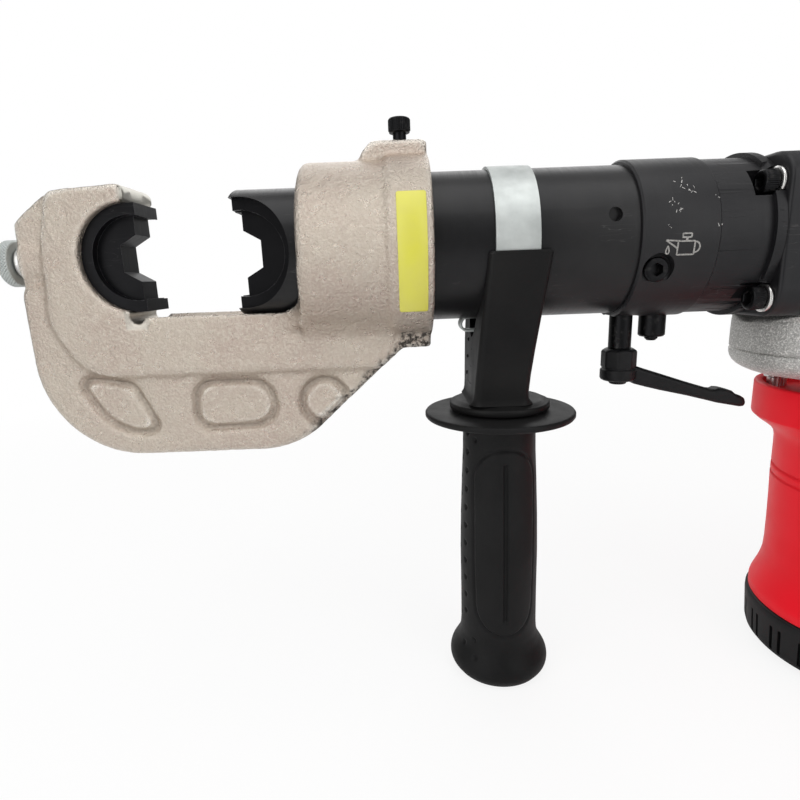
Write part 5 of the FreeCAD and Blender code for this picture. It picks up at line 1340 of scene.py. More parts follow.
@dataclass(frozen=True)
class Yoke:
    """Plastic yoke of the side handle: leaning arms, narrow waist, stepped foot, dots and ticks on its sides.

    Attributes:
        steps: points on each corner of a section.
        dots: heights of the dots above the ram axis, in millimetres.
        notch: half the outline of the notch between the arms, across and up, in millimetres.
    """

    steps: int = 14
    dots: tuple[float, ...] = (-44.3, -52.8, -61.1)
    notch: tuple[tuple[float, float], ...] = ((-12, -28), (-10.5, -33), (-7.5, -38), (-3, -41.6))

    def rows(self) -> list[tuple[float, float, float, float, float]]:
        """Height, front, rear, half width and corner radius of the yoke's sections, in millimetres."""
        return [
            (-3.6, 23.6, 48.1, 34.6, 1.6), (-3.8, 22.9, 48.6, 35.6, 2.0), (-5.2, 22.5, 48.9, 36.0, 2.2),
            (-16.0, 21.7, 47.9, 33.6, 2.6), (-31.0, 20.5, 46.3, 30.0, 3.0), (-45.0, 19.4, 44.9, 26.6, 3.2),
            (-58.0, 18.7, 43.9, 23.2, 3.4), (-66.0, 18.3, 43.6, 21.3, 3.6), (-69.5, 18.0, 44.0, 20.6, 4.0),
            (-71.3, 17.4, 45.0, 20.6, 5.0), (-72.5, 16.2, 46.4, 21.0, 7.0),
        ]

    def body(self) -> tuple[np.ndarray, np.ndarray]:
        """Skins the sections."""
        loops = [level_section(rounded_loop((front, -half), (rear, half), corner, self.steps), height)
                 for height, front, rear, half, corner in self.rows()]
        points, faces = loft_surface(np.array(loops))
        return points, faces[:, ::-1]

    def foot(self) -> tuple[np.ndarray, np.ndarray]:
        """The two-stepped round foot."""
        axis_x = (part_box("side_grip")[0].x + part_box("side_grip")[1].x) / 2
        profile = [(0, 0), (0, 20.0), (0.3, 21.4), (1.0, 22.6), (1.4, 23.6), (1.6, 24.2), (2.2, 24.5),
                   (4.3, 24.5), (4.8, 24.1), (4.9, 22.2), (5.7, 22.0), (5.7, 0)]
        return ring_surface(profile, 120, (axis_x, 0.0, AXIS.z - 72.45 * MM), "-z")

    def disc(self, radius: float, length: float, origin: Sequence[float]) -> tuple[np.ndarray, np.ndarray]:
        """Round cutter along the tool, of a radius and a length in millimetres."""
        return ring_surface([(0, 0), (0, radius), (length, radius), (length, 0)], 160, origin, "+x")

    def marks(self) -> tuple[np.ndarray, np.ndarray]:
        """Domed dots and short ticks on the front and rear sides."""
        surfaces = []
        heights = [31.0, 45.0, 58.0, 66.0]
        dome = [(0, 0), (0, 1.1), (0.5, 0.9), (0.7, 0.5), (0.75, 0)]
        tick = np.array([(-0.35, -3.5), (0.35, -3.5), (0.35, 3.5), (-0.35, 3.5)])
        for height in self.dots:
            front = np.interp(-height, heights, [20.5, 19.4, 18.7, 18.2])
            rear = np.interp(-height, heights, [46.3, 44.9, 43.9, 43.7])
            surfaces.append(ring_surface(dome, 24, AXIS.place(front + 0.1, 9.0, height), "-x"))
            surfaces.append(ring_surface(dome, 24, AXIS.place(rear - 0.1, -9.0, height), "+x"))
            for side in (front, rear):
                loops = [level_section(tick + (side, 0.0), height + up) for up in (-3.7, -3.1)]
                surfaces.append(loft_surface(np.array(loops)))
        return merge(surfaces)

    def build(self) -> bpy.types.Object:
        """Cuts the saddle, the strap's slot and the notch out of the skin, then adds foot and marks."""
        thing = closed_object("yoke_moulding", self.body())
        tube = (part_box("cylinder_tube")[1].z - AXIS.z) / MM + 0.3
        band_low, band_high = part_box("clamp_band")
        band = (band_high.z - AXIS.z) / MM + 0.1
        width = (band_high.x - band_low.x) / MM + 0.6
        band_start = (band_low.x - 0.3 * MM, 0, AXIS.z)
        left = np.array(self.notch)
        outline = np.concatenate([left, [(0, -42.2)], left[::-1] * (-1, 1)])
        ends = np.array([cross_section(outline, along) for along in (5, 65)])
        carve(thing, [
            closed_object("saddle", self.disc(tube, 60, AXIS.place(5, 0, 0))),
            closed_object("channel", self.disc(band, width, band_start)),
            closed_object("notch", loft_surface(ends)),
        ])
        soften(thing, 0.45, 40.0)
        foot = closed_object("yoke_foot", self.foot())
        marks = closed_object("yoke_marks", self.marks())
        soften(marks, 0.1, 50.0, 1)
        for extra in (foot, marks):
            fit(extra, Finish.YOKE, "side_clamp", "black_plastic")
        return fit(thing, Finish.YOKE, "side_clamp", "black_plastic", "yoke")


@dataclass(frozen=True)
class ReleaseLever:
    """Clamping lever: a hub with eight broad flats and a straight arm that ends in a raised nub.

    Attributes:
        flats: number of flats round the hub.
        steps: points on each corner of the arm's sections.
    """

    flats: int = 8
    steps: int = 12

    def hub(self, origin: tuple[float, float, float]) -> tuple[np.ndarray, np.ndarray]:
        """Hub turned about the spindle. A flat's radius is its distance over the cosine of the angle."""
        turn = np.arange(self.flats * 12) * TAU / (self.flats * 12)
        flat = np.ones_like(turn)
        part = TAU / self.flats
        facet = np.minimum(7.75 / np.cos((turn + part / 2) % part - part / 2), 8.25)
        bore = [(6.0, 0.0), (6.0, 4.05), (0.5, 4.05), (0.0, 4.5), (0.0, 6.3), (0.5, 7.1)]
        flats = [(1.0, facet - 0.35), (1.8, facet), (8.8, facet), (9.4, facet - 0.45)]
        foot = [(9.8, 7.6), (10.2, 8.2), (10.7, 8.5), (14.4, 8.5), (15.2, 8.1), (15.7, 7.2), (15.8, 5.6),
                (6.2, 5.6), (6.2, 0.0)]
        rows = [(along, flat * radius) for along, radius in bore + flats + foot]
        return polar_rows(rows, origin, "-z")

    def arm(self, hub_x: float) -> tuple[np.ndarray, np.ndarray]:
        """Skins upright rounded sections along the arm. Each row is along, top, foot and half width."""
        rows = [(4.2, -58.3, -66.0, 4.4), (7.0, -59.0, -68.0, 4.6), (13.0, -61.2, -69.8, 4.5),
                (20.0, -63.6, -71.7, 4.3), (34.0, -68.5, -75.1, 4.1), (45.0, -72.1, -78.1, 4.2),
                (47.4, -72.4, -78.8, 4.5), (49.0, -71.7, -79.2, 4.7), (51.5, -72.0, -79.7, 4.8),
                (55.5, -73.2, -80.5, 4.9), (57.4, -74.8, -80.9, 4.9), (60.2, -75.9, -81.5, 4.7),
                (62.0, -77.0, -81.5, 4.2), (62.7, -78.2, -80.9, 3.3)]
        loops = [cross_section(rounded_loop((-half, foot), (half, top), 2.2, self.steps), hub_x + along)
                 for along, top, foot, half in rows]
        return loft_surface(np.array(loops))

    def build(self) -> bpy.types.Object:
        """Puts hub and arm into one piece."""
        low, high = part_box("release_spindle")
        hub_x = ((low.x + high.x) / 2 - AXIS.x) / MM
        origin = (AXIS.x + hub_x * MM, 0.0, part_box("release_lever")[1].z)
        thing = closed_object("lever_handle", merge([self.hub(origin), self.arm(hub_x)]))
        soften(thing, 0.25, 50.0, 2)
        return fit(thing, Finish.LEVER, "release_lever", "lever_metal", "release_lever")


@dataclass(frozen=True)
class PumpMarks:
    """Etched oil-can sign and the small bright scratches round it, on the near side of the pump body.

    Attributes:
        line: width of the etched line, in millimetres.
        rim: how far the pump body's rear rim stands over the marked face, in millimetres.
        spots: rubbed places: along, up, number of strokes and their spread, in millimetres.
    """

    line: float = 0.62
    rim: float = 1.0
    spots: tuple[tuple[float, float, int, float], ...] = (
        (102.9, 21.0, 6, 1.6), (104.8, 17.2, 5, 1.4), (97.2, 12.5, 5, 1.5), (99.3, 9.9, 4, 1.6),
        (94.0, 3.2, 3, 0.8), (116.4, 3.3, 2, 0.5), (114.9, 14.0, 2, 0.8))

    def ribbon(self, path: np.ndarray, width: float, closed: bool) -> tuple[np.ndarray, np.ndarray]:
        """Flat raised line along a path, wrapped onto the pump body.

        Args:
            path: (along, up) places, in millimetres.
            width: the line's width, in millimetres.
            closed: whether the path ends where it starts.

        Returns:
            The points and quads.
        """
        ahead = np.roll(path, -1, axis=0) - np.roll(path, 1, axis=0)
        if not closed:
            ahead[0] = path[1] - path[0]
            ahead[-1] = path[-1] - path[-2]
        side = np.stack([-ahead[:, 1], ahead[:, 0]], axis=1)
        side *= width / 2 / np.maximum(np.linalg.norm(side, axis=1, keepdims=True), 1e-9)
        radius = (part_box("pump_body")[1].z - AXIS.z) / MM - self.rim
        sunk, proud = radius - 0.2, radius + 0.045
        corners = [self.wrap(path + side, sunk), self.wrap(path + side, proud),
                   self.wrap(path - side, proud), self.wrap(path - side, sunk)]
        loops = np.stack(corners, axis=1)
        if closed:
            loops = np.concatenate([loops, loops[:1]])
            return loops, grid_faces(len(loops), 4, True)
        return loft_surface(loops)

    def wrap(self, flat: np.ndarray, radius: float) -> np.ndarray:
        """Puts (along, up) places on the near side of a cylinder round the ram axis."""
        depth = np.sqrt(radius ** 2 - flat[:, 1] ** 2)
        return np.stack([AXIS.x + flat[:, 0] * MM, -depth * MM, AXIS.z + flat[:, 1] * MM], axis=1)

    def sign(self) -> bpy.types.Object:
        """Can with a spout, a lid, a handle and a drop."""
        can = curve_through([(99.3, -3.0), (99.3, -7.9), (106.2, -7.9), (106.2, -2.6), (101.2, -2.6),
                             (94.2, -2.0), (99.3, -5.4)], 90)
        lid = curve_through([(101.0, -1.1), (104.6, -1.1), (104.6, 0.4), (101.0, 0.4), (101.0, -1.1)], 30)
        turn = np.linspace(TAU / 4, -TAU / 4, 24)
        handle = np.stack([106.4 + 2.0 * np.cos(turn), -5.0 + 2.1 * np.sin(turn)], axis=1)
        turn = np.linspace(0, TAU, 40, endpoint=False)
        drop = np.stack([95.3 + 0.95 * np.sin(turn) * (0.62 - 0.38 * np.cos(turn)),
                         -5.9 + 1.5 * np.cos(turn)], axis=1)
        neck = curve_through([(102.8, -1.1), (102.8, -2.5)], 6)
        surfaces = [self.ribbon(can, self.line, False), self.ribbon(lid[:-1], self.line, True),
                    self.ribbon(handle, self.line, False), self.ribbon(drop, self.line * 0.8, True),
                    self.ribbon(neck, self.line * 1.5, False)]
        thing = closed_object("oil_sign", merge(surfaces), shade=Shade.FLAT)
        return fit(thing, Finish.ETCHING, "body", "black_steel")

    def scratches(self) -> bpy.types.Object:
        """Short strokes scattered round the rubbed places."""
        dice = np.random.default_rng(12)
        surfaces = []
        for along, up, count, spread in self.spots:
            for _ in range(count):
                start = np.array([along, up]) + dice.normal(0, spread, 2)
                angle = dice.uniform(0, TAU)
                reach = dice.uniform(0.3, 1.5)
                bow = dice.normal(0, 0.15)
                share = np.linspace(0, 1, 6)[:, None]
                path = start + share * reach * np.array([[math.cos(angle), math.sin(angle)]])
                path += bow * share * (1 - share) * np.array([[-math.sin(angle), math.cos(angle)]])
                surfaces.append(self.ribbon(path, dice.uniform(0.12, 0.3), False))
        thing = closed_object("pump_scratches", merge(surfaces), SEAM / 5, Shade.FLAT)
        return fit(thing, Finish.SCRATCH, "body", "black_steel")

    def build(self) -> None:
        """Makes both pieces."""
        self.sign()
        self.scratches()


@dataclass(frozen=True)
class MotorShell:
    """Red motor housing and black base: collar with a sunk lid, grooved waist, flared foot, paired vents.

    Attributes:
        steps: points on each of the plan's four corners.
        vent_pitch: between two pairs of vents, in millimetres.
        vent_gap: between the two vents of a pair, in millimetres.
        tail: how much smaller the rear corners' radius is than half the width, in millimetres.
        grooves: heights at which the waist's grooves start above the ram axis, in millimetres.
        bosses: along and across of the bosses under the gear cover, in millimetres.
    """

    steps: int = 44
    vent_pitch: float = 15.0
    vent_gap: float = 5.0
    tail: float = 12.0
    grooves: tuple[float, ...] = (-119.4, -124.4)
    bosses: tuple[tuple[float, float], ...] = (
        (182.0, 17.0), (182.0, -17.0), (196.0, -31.0), (196.0, 31.0), (240.0, -30.0), (240.0, 30.0))

    def plans(self, plain: Sequence[tuple[float, ...]]) -> list[tuple[float, ...]]:
        """Adds the front and rear corner radius to rows of height, front, rear and half width."""
        return [(*row, row[3], row[3] - self.tail) for row in plain]

    def rows(self) -> list[tuple[float, ...]]:
        """Height, front, rear, half width, front and rear corner radius, in millimetres."""
        plain = [
            (-79.0, 175.4, 256.0, 41.0), (-79.0, 175.0, 256.4, 41.4), (-78.3, 174.4, 257.0, 42.0),
            (-73.9, 173.9, 257.8, 42.4), (-73.2, 173.4, 258.3, 42.9), (-73.0, 172.6, 259.2, 43.6),
            (-73.0, 171.0, 260.6, 44.9), (-73.3, 170.0, 261.5, 45.7), (-74.0, 169.6, 262.0, 46.0),
            (-89.6, 169.6, 262.0, 46.0), (-90.4, 169.9, 262.2, 45.9), (-92.6, 172.4, 263.2, 45.5),
            (-95.4, 176.6, 264.6, 45.0), (-98.4, 180.4, 265.6, 44.5), (-101.4, 182.7, 266.2, 44.2),
            (-105.0, 183.6, 266.5, 44.0), (-110.0, 183.8, 266.5, 44.0),
        ]
        for top in self.grooves:
            plain += [(top + 0.2, 183.9, 266.5, 44.0), (top - 0.1, 184.8, 265.6, 43.1),
                      (top - 1.4, 184.8, 265.6, 43.1), (top - 1.8, 183.9, 266.5, 44.0)]
        plain += [
            (-140.0, 184.6, 266.5, 44.0), (-155.0, 185.1, 266.5, 44.0), (-167.0, 185.3, 266.5, 44.0),
            (-174.0, 185.0, 266.5, 44.2), (-179.0, 184.0, 266.6, 44.9), (-183.6, 182.6, 266.8, 46.1),
            (-187.6, 181.1, 267.1, 47.6), (-190.4, 180.2, 267.4, 48.6), (-192.0, 179.9, 267.5, 49.0),
            (-195.5, 179.9, 267.5, 49.0), (-196.1, 180.5, 266.9, 48.4),
        ]
        return self.plans(plain)

    def base_rows(self) -> list[tuple[float, ...]]:
        """The same of the black base."""
        plain = [(-195.7, 181.5, 265.9, 47.4), (-196.4, 179.4, 267.0, 48.6), (-197.2, 178.6, 267.5, 49.0),
                 (-200.0, 178.5, 267.5, 49.0), (-216.0, 179.9, 267.0, 48.7), (-218.6, 180.7, 266.4, 48.1),
                 (-220.4, 182.2, 265.0, 46.8), (-221.5, 184.4, 263.0, 44.8), (-221.9, 187.0, 260.5, 42.4)]
        return self.plans(plain)

    def vents(self) -> bpy.types.Object:
        """Upright slots in pairs round the base, placed by length along its plan."""
        plan = plan_loop(179.4, 267.1, 48.8, 48.8, 36.8, self.steps)
        ring = np.concatenate([plan, plan[:1]])
        walked = np.concatenate([[0.0], np.cumsum(np.linalg.norm(np.diff(ring, axis=0), axis=1))])
        pairs = int(walked[-1] // self.vent_pitch)
        centres = (np.arange(pairs) + 0.36) * walked[-1] / pairs
        places = np.sort(np.concatenate([centres - self.vent_gap / 2, centres + self.vent_gap / 2]))
        spot = np.stack([np.interp(places, walked, ring[:, k]) for k in (0, 1)], axis=1)
        tip = np.stack([np.interp((places + 0.5) % walked[-1], walked, ring[:, k]) for k in (0, 1)], axis=1)
        ahead = (tip - spot) / np.linalg.norm(tip - spot, axis=1, keepdims=True)
        outward = np.stack([ahead[:, 1], -ahead[:, 0]], axis=1)
        surfaces = []
        slot = np.array([(-0.9, -2.6), (0.9, -2.6), (0.9, 2.6), (-0.9, 2.6)])
        for centre, run, out in zip(spot, ahead, outward):
            corners = centre + slot[:, :1] * run + slot[:, 1:] * out
            loops = np.array([level_section(corners, height) for height in (-217.6, -203.5)])
            surfaces.append(loft_surface(loops))
        return closed_object("vents", merge(surfaces))

    def posts(self) -> bpy.types.Object:
        """Bright bosses and screws between the gear cover and the motor's lid."""
        profile = [(0, 0), (0, 4.6), (5.6, 4.6), (6.0, 4.2), (6.0, 3.1), (14.5, 3.1), (14.5, 0)]
        surfaces = [ring_surface(profile, 40, AXIS.place(*boss, -65.0), "-z") for boss in self.bosses]
        thing = closed_object("motor_posts", merge(surfaces))
        soften(thing, 0.25, 50.0, 2)
        return fit(thing, Finish.BRIGHT, "body", "bright_steel")

    def stator(self) -> bpy.types.Object:
        """Laminated ring with six notches, inside the shell."""
        low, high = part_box("stator")
        turn = np.arange(240) * TAU / 240
        outer = 33.0 - 1.2 * smooth_step(0.985, 1.0, np.cos(turn * 6))
        inner = np.full(240, 24.5)
        length = (high.z - low.z) / MM
        rows = [(0.0, inner), (0.0, outer - 0.6), (0.6, outer), (length - 0.6, outer), (length, outer - 0.6),
                (length, inner), (0.0, inner)]
        thing = closed_object("stator_ring", polar_rows(rows, ((low.x + high.x) / 2, 0.0, high.z), "-z"))
        return fit(thing, Finish.DARK_CAST, "body", "black_steel", "stator")

    def build(self) -> bpy.types.Object:
        """Skins the sections from the sunk lid to the foot, then adds the base, the bosses and the stator."""
        thing = closed_object("motor_shell", housing_surface(self.rows(), self.steps))
        thing.modifiers.new("normals", "WEIGHTED_NORMAL").keep_sharp = True
        base = closed_object("motor_base", housing_surface(self.base_rows(), self.steps))
        carve(base, [self.vents()])
        soften(base, 0.2, 45.0, 1)
        fit(base, Finish.BLACK, "body", "black_plastic", "base_cap")
        self.posts()
        self.stator()
        return fit(thing, Finish.RED, "body", "red_plastic", "motor_housing")


@dataclass(frozen=True)
class BandLoop:
    """Bright metal loop at the end of the clamp band, in the yoke's notch.

    Attributes:
        width: the band's width across the tool, in millimetres.
        thick: the band's thickness, in millimetres.
    """

    width: float = 8.0
    thick: float = 1.2

    def build(self) -> bpy.types.Object:
        """Carries a flat section along a U. The section stands across the path's direction."""
        turn = np.linspace(TAU / 4, TAU * 3 / 4, 15)
        bend = np.stack([17.4 + 3.2 * np.cos(turn), -35.6 + 3.2 * np.sin(turn)], axis=1)
        path = np.concatenate([[[25.0, -32.4], [21.0, -32.4]], bend, [[21.0, -38.8], [25.0, -38.8]]])
        ahead = np.gradient(path, axis=0)
        side = np.stack([-ahead[:, 1], ahead[:, 0]], axis=1) * self.thick / 2
        side /= np.linalg.norm(ahead, axis=1, keepdims=True)
        half = self.width / 2
        loops = np.stack([np.insert(path + shift, 1, across, axis=1) for shift, across in
                          ((side, -half), (side, half), (-side, half), (-side, -half))], axis=1)
        thing = closed_object("band_loop", loft_surface(AXIS.spread(loops)))
        soften(thing, 0.25, 50.0, 2)
        return fit(thing, Finish.ZINC, "side_clamp", "bright_steel")


@dataclass(frozen=True)
class FlangeBlock:
    """Square flange of the pump body with large round corners.

    Attributes:
        corner: radius of its corners, in millimetres.
        top: height of its top above the ram axis, in millimetres.
        steps: points on each corner.
    """

    corner: float = 12.5
    top: float = 32.2
    steps: int = 18

    def build(self) -> bpy.types.Object:
        """Skins one rounded square along the ram axis; its front edge is a small round."""
        low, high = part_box("flange_block")
        front, rear = (low.x - AXIS.x) / MM, (high.x - AXIS.x) / MM
        half = (high.y - low.y) / 2 / MM
        foot = (low.z - AXIS.z) / MM
        loops = []
        for along, inset in ((front, 1.6), (front + 0.25, 0.7), (front + 0.9, 0.12), (front + 1.6, 0.0),
                             (rear - 1.0, 0.0), (rear - 0.3, 0.3), (rear, 1.0)):
            low_corner, high_corner = (-half + inset, foot + inset), (half - inset, self.top - inset)
            loops.append(cross_section(rounded_loop(low_corner, high_corner, self.corner, self.steps), along))
        thing = closed_object("pump_flange", loft_surface(np.array(loops)))
        soften(thing, 0.2, 40.0, 2)
        return fit(thing, Finish.PUMP, "body", "black_steel", "flange_block")


@dataclass(frozen=True)
class GearDrum:
    """Cast gear housing: round nose below, square shoulders above, a joint line and a rounded cover.

    Attributes:
        steps: points on each corner of a plan.
        screws: places of the lid's screws along the tool, in millimetres.
        screw_side: how far they are from the middle, in millimetres.
    """

    steps: int = 44
    screws: tuple[float, ...] = (171.0, 203.5, 236.0)
    screw_side: float = 25.0

    def rows(self) -> list[tuple[float, ...]]:
        """Height, front, rear, half width, front and rear corner radius, in millimetres."""
        rows = [(32.0, 166.0, 244.0, 35.0, 8.0, 20.0), (31.7, 163.2, 246.8, 38.0, 9.0, 22.0),
                (30.4, 161.2, 249.0, 40.2, 11.0, 24.0), (28.6, 160.2, 250.0, 41.0, 12.0, 25.0),
                (-35.5, 160.2, 250.0, 41.0, 12.0, 25.0), (-37.0, 158.2, 250.0, 41.3, 26.0, 25.0),
                (-38.6, 154.6, 250.0, 41.5, 39.0, 25.0), (-40.0, 153.2, 250.0, 41.5, 41.5, 25.0)]
        rows += [(h, 153.0 + d, 250.0 - d, 41.5 - d, 41.5 - d, 25.0) for h, d in
                 ((-46.0, 0.0), (-53.3, 0.0), (-53.6, 0.25), (-53.8, 0.7), (-54.3, 0.7), (-54.5, 0.2),
                  (-54.9, 0.0), (-57.0, 0.1), (-58.8, 0.6), (-60.6, 1.6), (-62.2, 3.2), (-63.6, 5.4),
                  (-64.8, 8.0), (-65.8, 11.0), (-66.5, 14.5), (-66.8, 18.0))]
        return rows

    def build(self) -> bpy.types.Object:
        """Skins the plans from the top shoulder down to the cover's sole."""
        thing = closed_object("gear_drum", housing_surface(self.rows(), self.steps))
        soften(thing, 0.25, 40.0, 2)
        self.lid()
        return fit(thing, Finish.CAST, "body", "cast_aluminium", "gear_housing", "gear_cover")

    def lid(self) -> bpy.types.Object:
        """Dark plate on top of the gear housing with a row of screws."""
        rows = [(h, 164.0 + d, 243.0 - d, 31.0 - d, 9.0, 9.0) for h, d in
                ((31.6, 0.0), (33.6, 0.0), (34.3, 0.3), (34.6, 1.0))]
        thing = closed_object("gear_lid", housing_surface(rows[::-1], 12))
        soften(thing, 0.3, 40.0, 2)
        profile = [(0, 0), (0.9, 0), (0.9, 1.6), (2.4, 1.9), (2.4, 3.2), (2.0, 3.7), (0, 3.8)]
        heads = closed_object("lid_screws", merge([
            ring_surface(profile, 36, AXIS.place(along, across, 34.5), "+z")
            for along in self.screws for across in (-self.screw_side, self.screw_side)]))
        fit(heads, Finish.SCREW, "body", "screw_steel")
        return fit(thing, Finish.DARK_CAST, "body", "dark_aluminium", "gear_top_cover")


@dataclass(frozen=True)
class PumpShell:
    """Pump body with short pockets for the flange screws, which sit a little lower than the frame's.

    Attributes:
        upper: how far the upper screws are lowered, in millimetres.
        lower: the same of the lower screws.
        pocket: radius of a pocket, in millimetres.
        depth: a pocket's length in front of the flange, in millimetres.
    """

    upper: float = 5.0
    lower: float = 2.0
    pocket: float = 6.7
    depth: float = 11.0

    def drop(self, number: int) -> float:
        """How far a screw is lowered, by its node's number."""
        return self.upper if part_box(f"flange_screw_{number}")[1].z > AXIS.z else self.lower

    def places(self) -> list[tuple[float, float]]:
        """Across and up of the four screws."""
        spots = []
        for number in (1, 2, 3, 4):
            low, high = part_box(f"flange_screw_{number}")
            up = ((low.z + high.z) / 2 - AXIS.z) / MM
            spots.append(((low.y + high.y) / 2 / MM, up - self.drop(number)))
        return spots

    def washers(self) -> bpy.types.Object:
        """Bright washers under the screw heads."""
        start = (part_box("flange_washers")[0].x - AXIS.x) / MM
        profile = [(0.0, 3.1), (0.0, 5.7), (0.3, 6.1), (1.3, 6.1), (1.6, 5.8), (1.6, 3.1), (0.0, 3.1)]
        rings = [ring_surface(profile, 56, AXIS.place(start, *spot), "+x") for spot in self.places()]
        thing = closed_object("washer_set", merge(rings))
        return fit(thing, Finish.BRIGHT, "body", "bright_steel", "flange_washers")

    def build(self) -> bpy.types.Object:
        """Fills the long pockets by a ring, then cuts the short ones."""
        thing = closed_copy(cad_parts["pump_body"], "pump_shell")
        end = (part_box("pump_body")[1].x - AXIS.x) / MM
        sleeve = [(0, 30.0), (0, 34.0), (21.6, 34.0), (23.6, 36.0), (25.4, 36.0), (25.4, 30.0), (0, 30.0)]
        ring = closed_object("ring", ring_surface(sleeve, 160, AXIS.place(end - 25.4, 0, 0), "+x"))
        carve(thing, [ring], "UNION")
        profile = [(0, 0), (0, self.pocket), (self.depth + 2, self.pocket), (self.depth + 2, 0)]
        carve(thing, [
            closed_object("pocket", ring_surface(profile, 64, AXIS.place(end - self.depth, *spot), "+x"))
            for spot in self.places()])
        soften(thing, 0.3, 32.0, 2)
        fit(thing, Finish.PUMP, "body", "black_steel", "pump_body")
        thing.data.materials.append(Finish.RUBBED.material)
        thing.modifiers["bevel"].material = 1
        self.washers()
        return thing


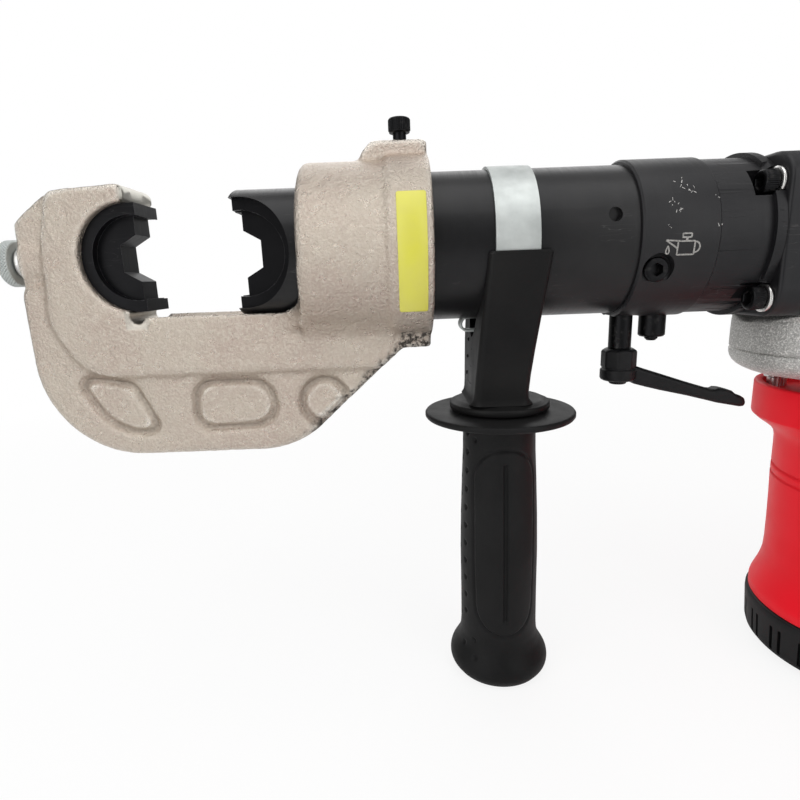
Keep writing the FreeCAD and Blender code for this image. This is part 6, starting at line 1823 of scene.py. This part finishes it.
@dataclass
class Studio:
    """Pale floor, white surround, soft lamps and the camera at the photograph's place.

    Attributes:
        focal: focal length in pixels of the photograph's 800 pixel frame.
        pitch: how far the camera looks down, in degrees.
        roll: turn about the view direction, in degrees.
        yaw: turn to the right, in degrees.
        distance: from the camera to the ram axis's plane, in millimetres.
        height: the camera's height against the ram axis, in millimetres.
        along: where the camera stands along the tool, behind the head's rear face, in millimetres.
        sensor: width of the camera's sensor, in millimetres.
        frame_width: width of the photograph, in pixels.
        reach: half the floor's side, in metres.
        paper: how far the floor lies under the tool, in metres.
    """

    focal: float = 536.7
    pitch: float = 12.88
    roll: float = 2.16
    yaw: float = 0.06
    distance: float = 260.9
    height: float = -12.67
    along: float = -16.5
    sensor: float = 36.0
    frame_width: float = 800.0
    reach: float = 9.0
    paper: float = 0.0006

    def camera(self) -> None:
        """Makes the camera. Its axes are worked out from yaw, then pitch, then roll."""
        pitch, roll, yaw = (math.radians(v) for v in (self.pitch, self.roll, self.yaw))
        forward = Vector((math.sin(yaw) * math.cos(pitch), math.cos(yaw) * math.cos(pitch), -math.sin(pitch)))
        level = Vector((math.cos(yaw), -math.sin(yaw), 0.0))
        down = forward.cross(level)
        right = level * math.cos(roll) + down * math.sin(roll)
        lower = -level * math.sin(roll) + down * math.cos(roll)
        data = bpy.data.cameras.new("camera")
        data.sensor_width = self.sensor
        data.lens = self.focal / self.frame_width * self.sensor
        data.clip_start = 0.01
        camera = bpy.data.objects.new("camera", data)
        bpy.context.scene.collection.objects.link(camera)
        axes = Matrix((right, -lower, -forward)).transposed().to_4x4()
        axes.translation = Vector(AXIS.place(self.along, -self.distance, self.height))
        camera.matrix_world = axes
        bpy.context.scene.camera = camera

    def floor(self) -> None:
        """A wide pale floor. Rays from the camera, and refracted ones, see it almost white."""
        side = np.linspace(-self.reach, self.reach, 3)
        x, y = np.meshgrid(side, side, indexing="ij")
        points = np.stack([x, y, np.full_like(x, -self.paper)], axis=-1)
        floor = make_object("floor", points, grid_faces(3, 3, False), Shade.FLAT)
        kit = Palette("floor_white")
        kit.shader.inputs["Base Color"].default_value = (0.86, 0.86, 0.86, 1.0)
        kit.fixed(Roughness=0.9)
        glow = kit.add("ShaderNodeEmission")
        glow.inputs["Color"].default_value = (1.0, 1.0, 1.0, 1.0)
        mixer = kit.add("ShaderNodeMixShader")
        rays = kit.add("ShaderNodeLightPath")
        seen = kit.math("MAXIMUM", rays.outputs["Is Camera Ray"], rays.outputs["Is Transmission Ray"])
        away = kit.add("ShaderNodeVectorMath")
        away.operation = "LENGTH"
        kit.link(kit.coords, away.inputs[0])
        share = kit.ramp(kit.math("DIVIDE", away.outputs["Value"], 2.0), [(0.12, 0.86), (0.5, 1.0)])
        kit.link(kit.math("MULTIPLY", seen, share), mixer.inputs[0])
        kit.link(kit.shader.outputs[0], mixer.inputs[1])
        kit.link(glow.outputs[0], mixer.inputs[2])
        kit.link(mixer.outputs[0], kit.tree.nodes["Material Output"].inputs["Surface"])
        floor.data.materials.append(kit.material)

    def world(self) -> None:
        """Soft surround: bright above, grey at the sides, white to the camera."""
        world = bpy.data.worlds.new("surround")
        bpy.context.scene.world = world
        world.use_nodes = True
        nodes, links = world.node_tree.nodes, world.node_tree.links
        background = nodes["Background"]
        rays = nodes.new("ShaderNodeLightPath")
        coords = nodes.new("ShaderNodeTexCoord")
        split = nodes.new("ShaderNodeSeparateXYZ")
        ramp = nodes.new("ShaderNodeValToRGB")
        mixer = nodes.new("ShaderNodeMix")
        mixer.data_type = "RGBA"
        stops = ((0.0, 0.34), (0.42, 0.15), (0.62, 0.17), (1.0, 0.52))
        while len(ramp.color_ramp.elements) < len(stops):
            ramp.color_ramp.elements.new(0.5)
        for element, (place, level) in zip(ramp.color_ramp.elements, stops):
            element.position = place
            element.color = (level, level, level, 1.0)
        half = nodes.new("ShaderNodeMath")
        half.operation = "MULTIPLY_ADD"
        half.inputs[1].default_value = 0.5
        half.inputs[2].default_value = 0.5
        links.new(coords.outputs["Generated"], split.inputs[0])
        links.new(split.outputs["Z"], half.inputs[0])
        links.new(half.outputs[0], ramp.inputs["Fac"])
        links.new(rays.outputs["Is Camera Ray"], mixer.inputs[0])
        links.new(ramp.outputs["Color"], mixer.inputs[6])
        mixer.inputs[7].default_value = (1.0, 1.0, 1.0, 1.0)
        links.new(mixer.outputs[2], background.inputs["Color"])

    def lamp(self, name: str, place: tuple[float, float, float], size: tuple[float, float],
             watts: float) -> None:
        """A soft rectangular lamp that looks at the middle of the tool.

        Args:
            name: the lamp's name.
            place: along, across and up from the ram axis, in millimetres.
            size: width and height, in metres.
            watts: its power.
        """
        data = bpy.data.lights.new(name, "AREA")
        data.shape = "RECTANGLE"
        data.size, data.size_y = size
        data.energy = watts
        lamp = bpy.data.objects.new(name, data)
        bpy.context.scene.collection.objects.link(lamp)
        lamp.location = AXIS.place(*place)
        aim = Vector(AXIS.place(0, 0, -30)) - lamp.location
        lamp.rotation_euler = aim.to_track_quat("-Z", "Y").to_euler()

    def build(self) -> None:
        """Makes the whole studio."""
        bpy.context.scene.view_settings.view_transform = "Standard"
        self.camera()
        self.floor()
        self.world()
        self.lamp("overhead", (-40, -250, 900), (1.3, 0.9), 6.0)
        self.lamp("front_left", (-700, -700, 250), (0.8, 0.9), 4.2)
        self.lamp("front_right", (700, -800, 300), (0.7, 0.9), 3.2)
        self.lamp("behind", (100, 900, 500), (1.2, 0.8), 4.0)


def main() -> None:
    """Builds the studio, then dresses each sub-assembly."""
    logging.basicConfig(level=logging.INFO, format="%(name)s: %(message)s")
    Studio().build()
    dress_nodes()
    Forging().build()
    CollarLabel().build()
    PullKnob().build()
    pump = PumpShell()
    pump.build()
    for number in (1, 2, 3, 4):
        SocketScrew(f"flange_screw_{number}", "body", "+x", drop=pump.drop(number)).build()
    SocketScrew("lock_screw", "head", "-z").build()
    SocketScrew("lever_screw", "release_valve", "+z", 5.0, 2.5, 30).build()
    SideGrip().build()
    Yoke().build()
    ReleaseLever().build()
    PumpMarks().build()
    BandLoop().build()
    FlangeBlock().build()
    GearDrum().build()
    MotorShell().build()


if __name__ == "__main__":
    main()
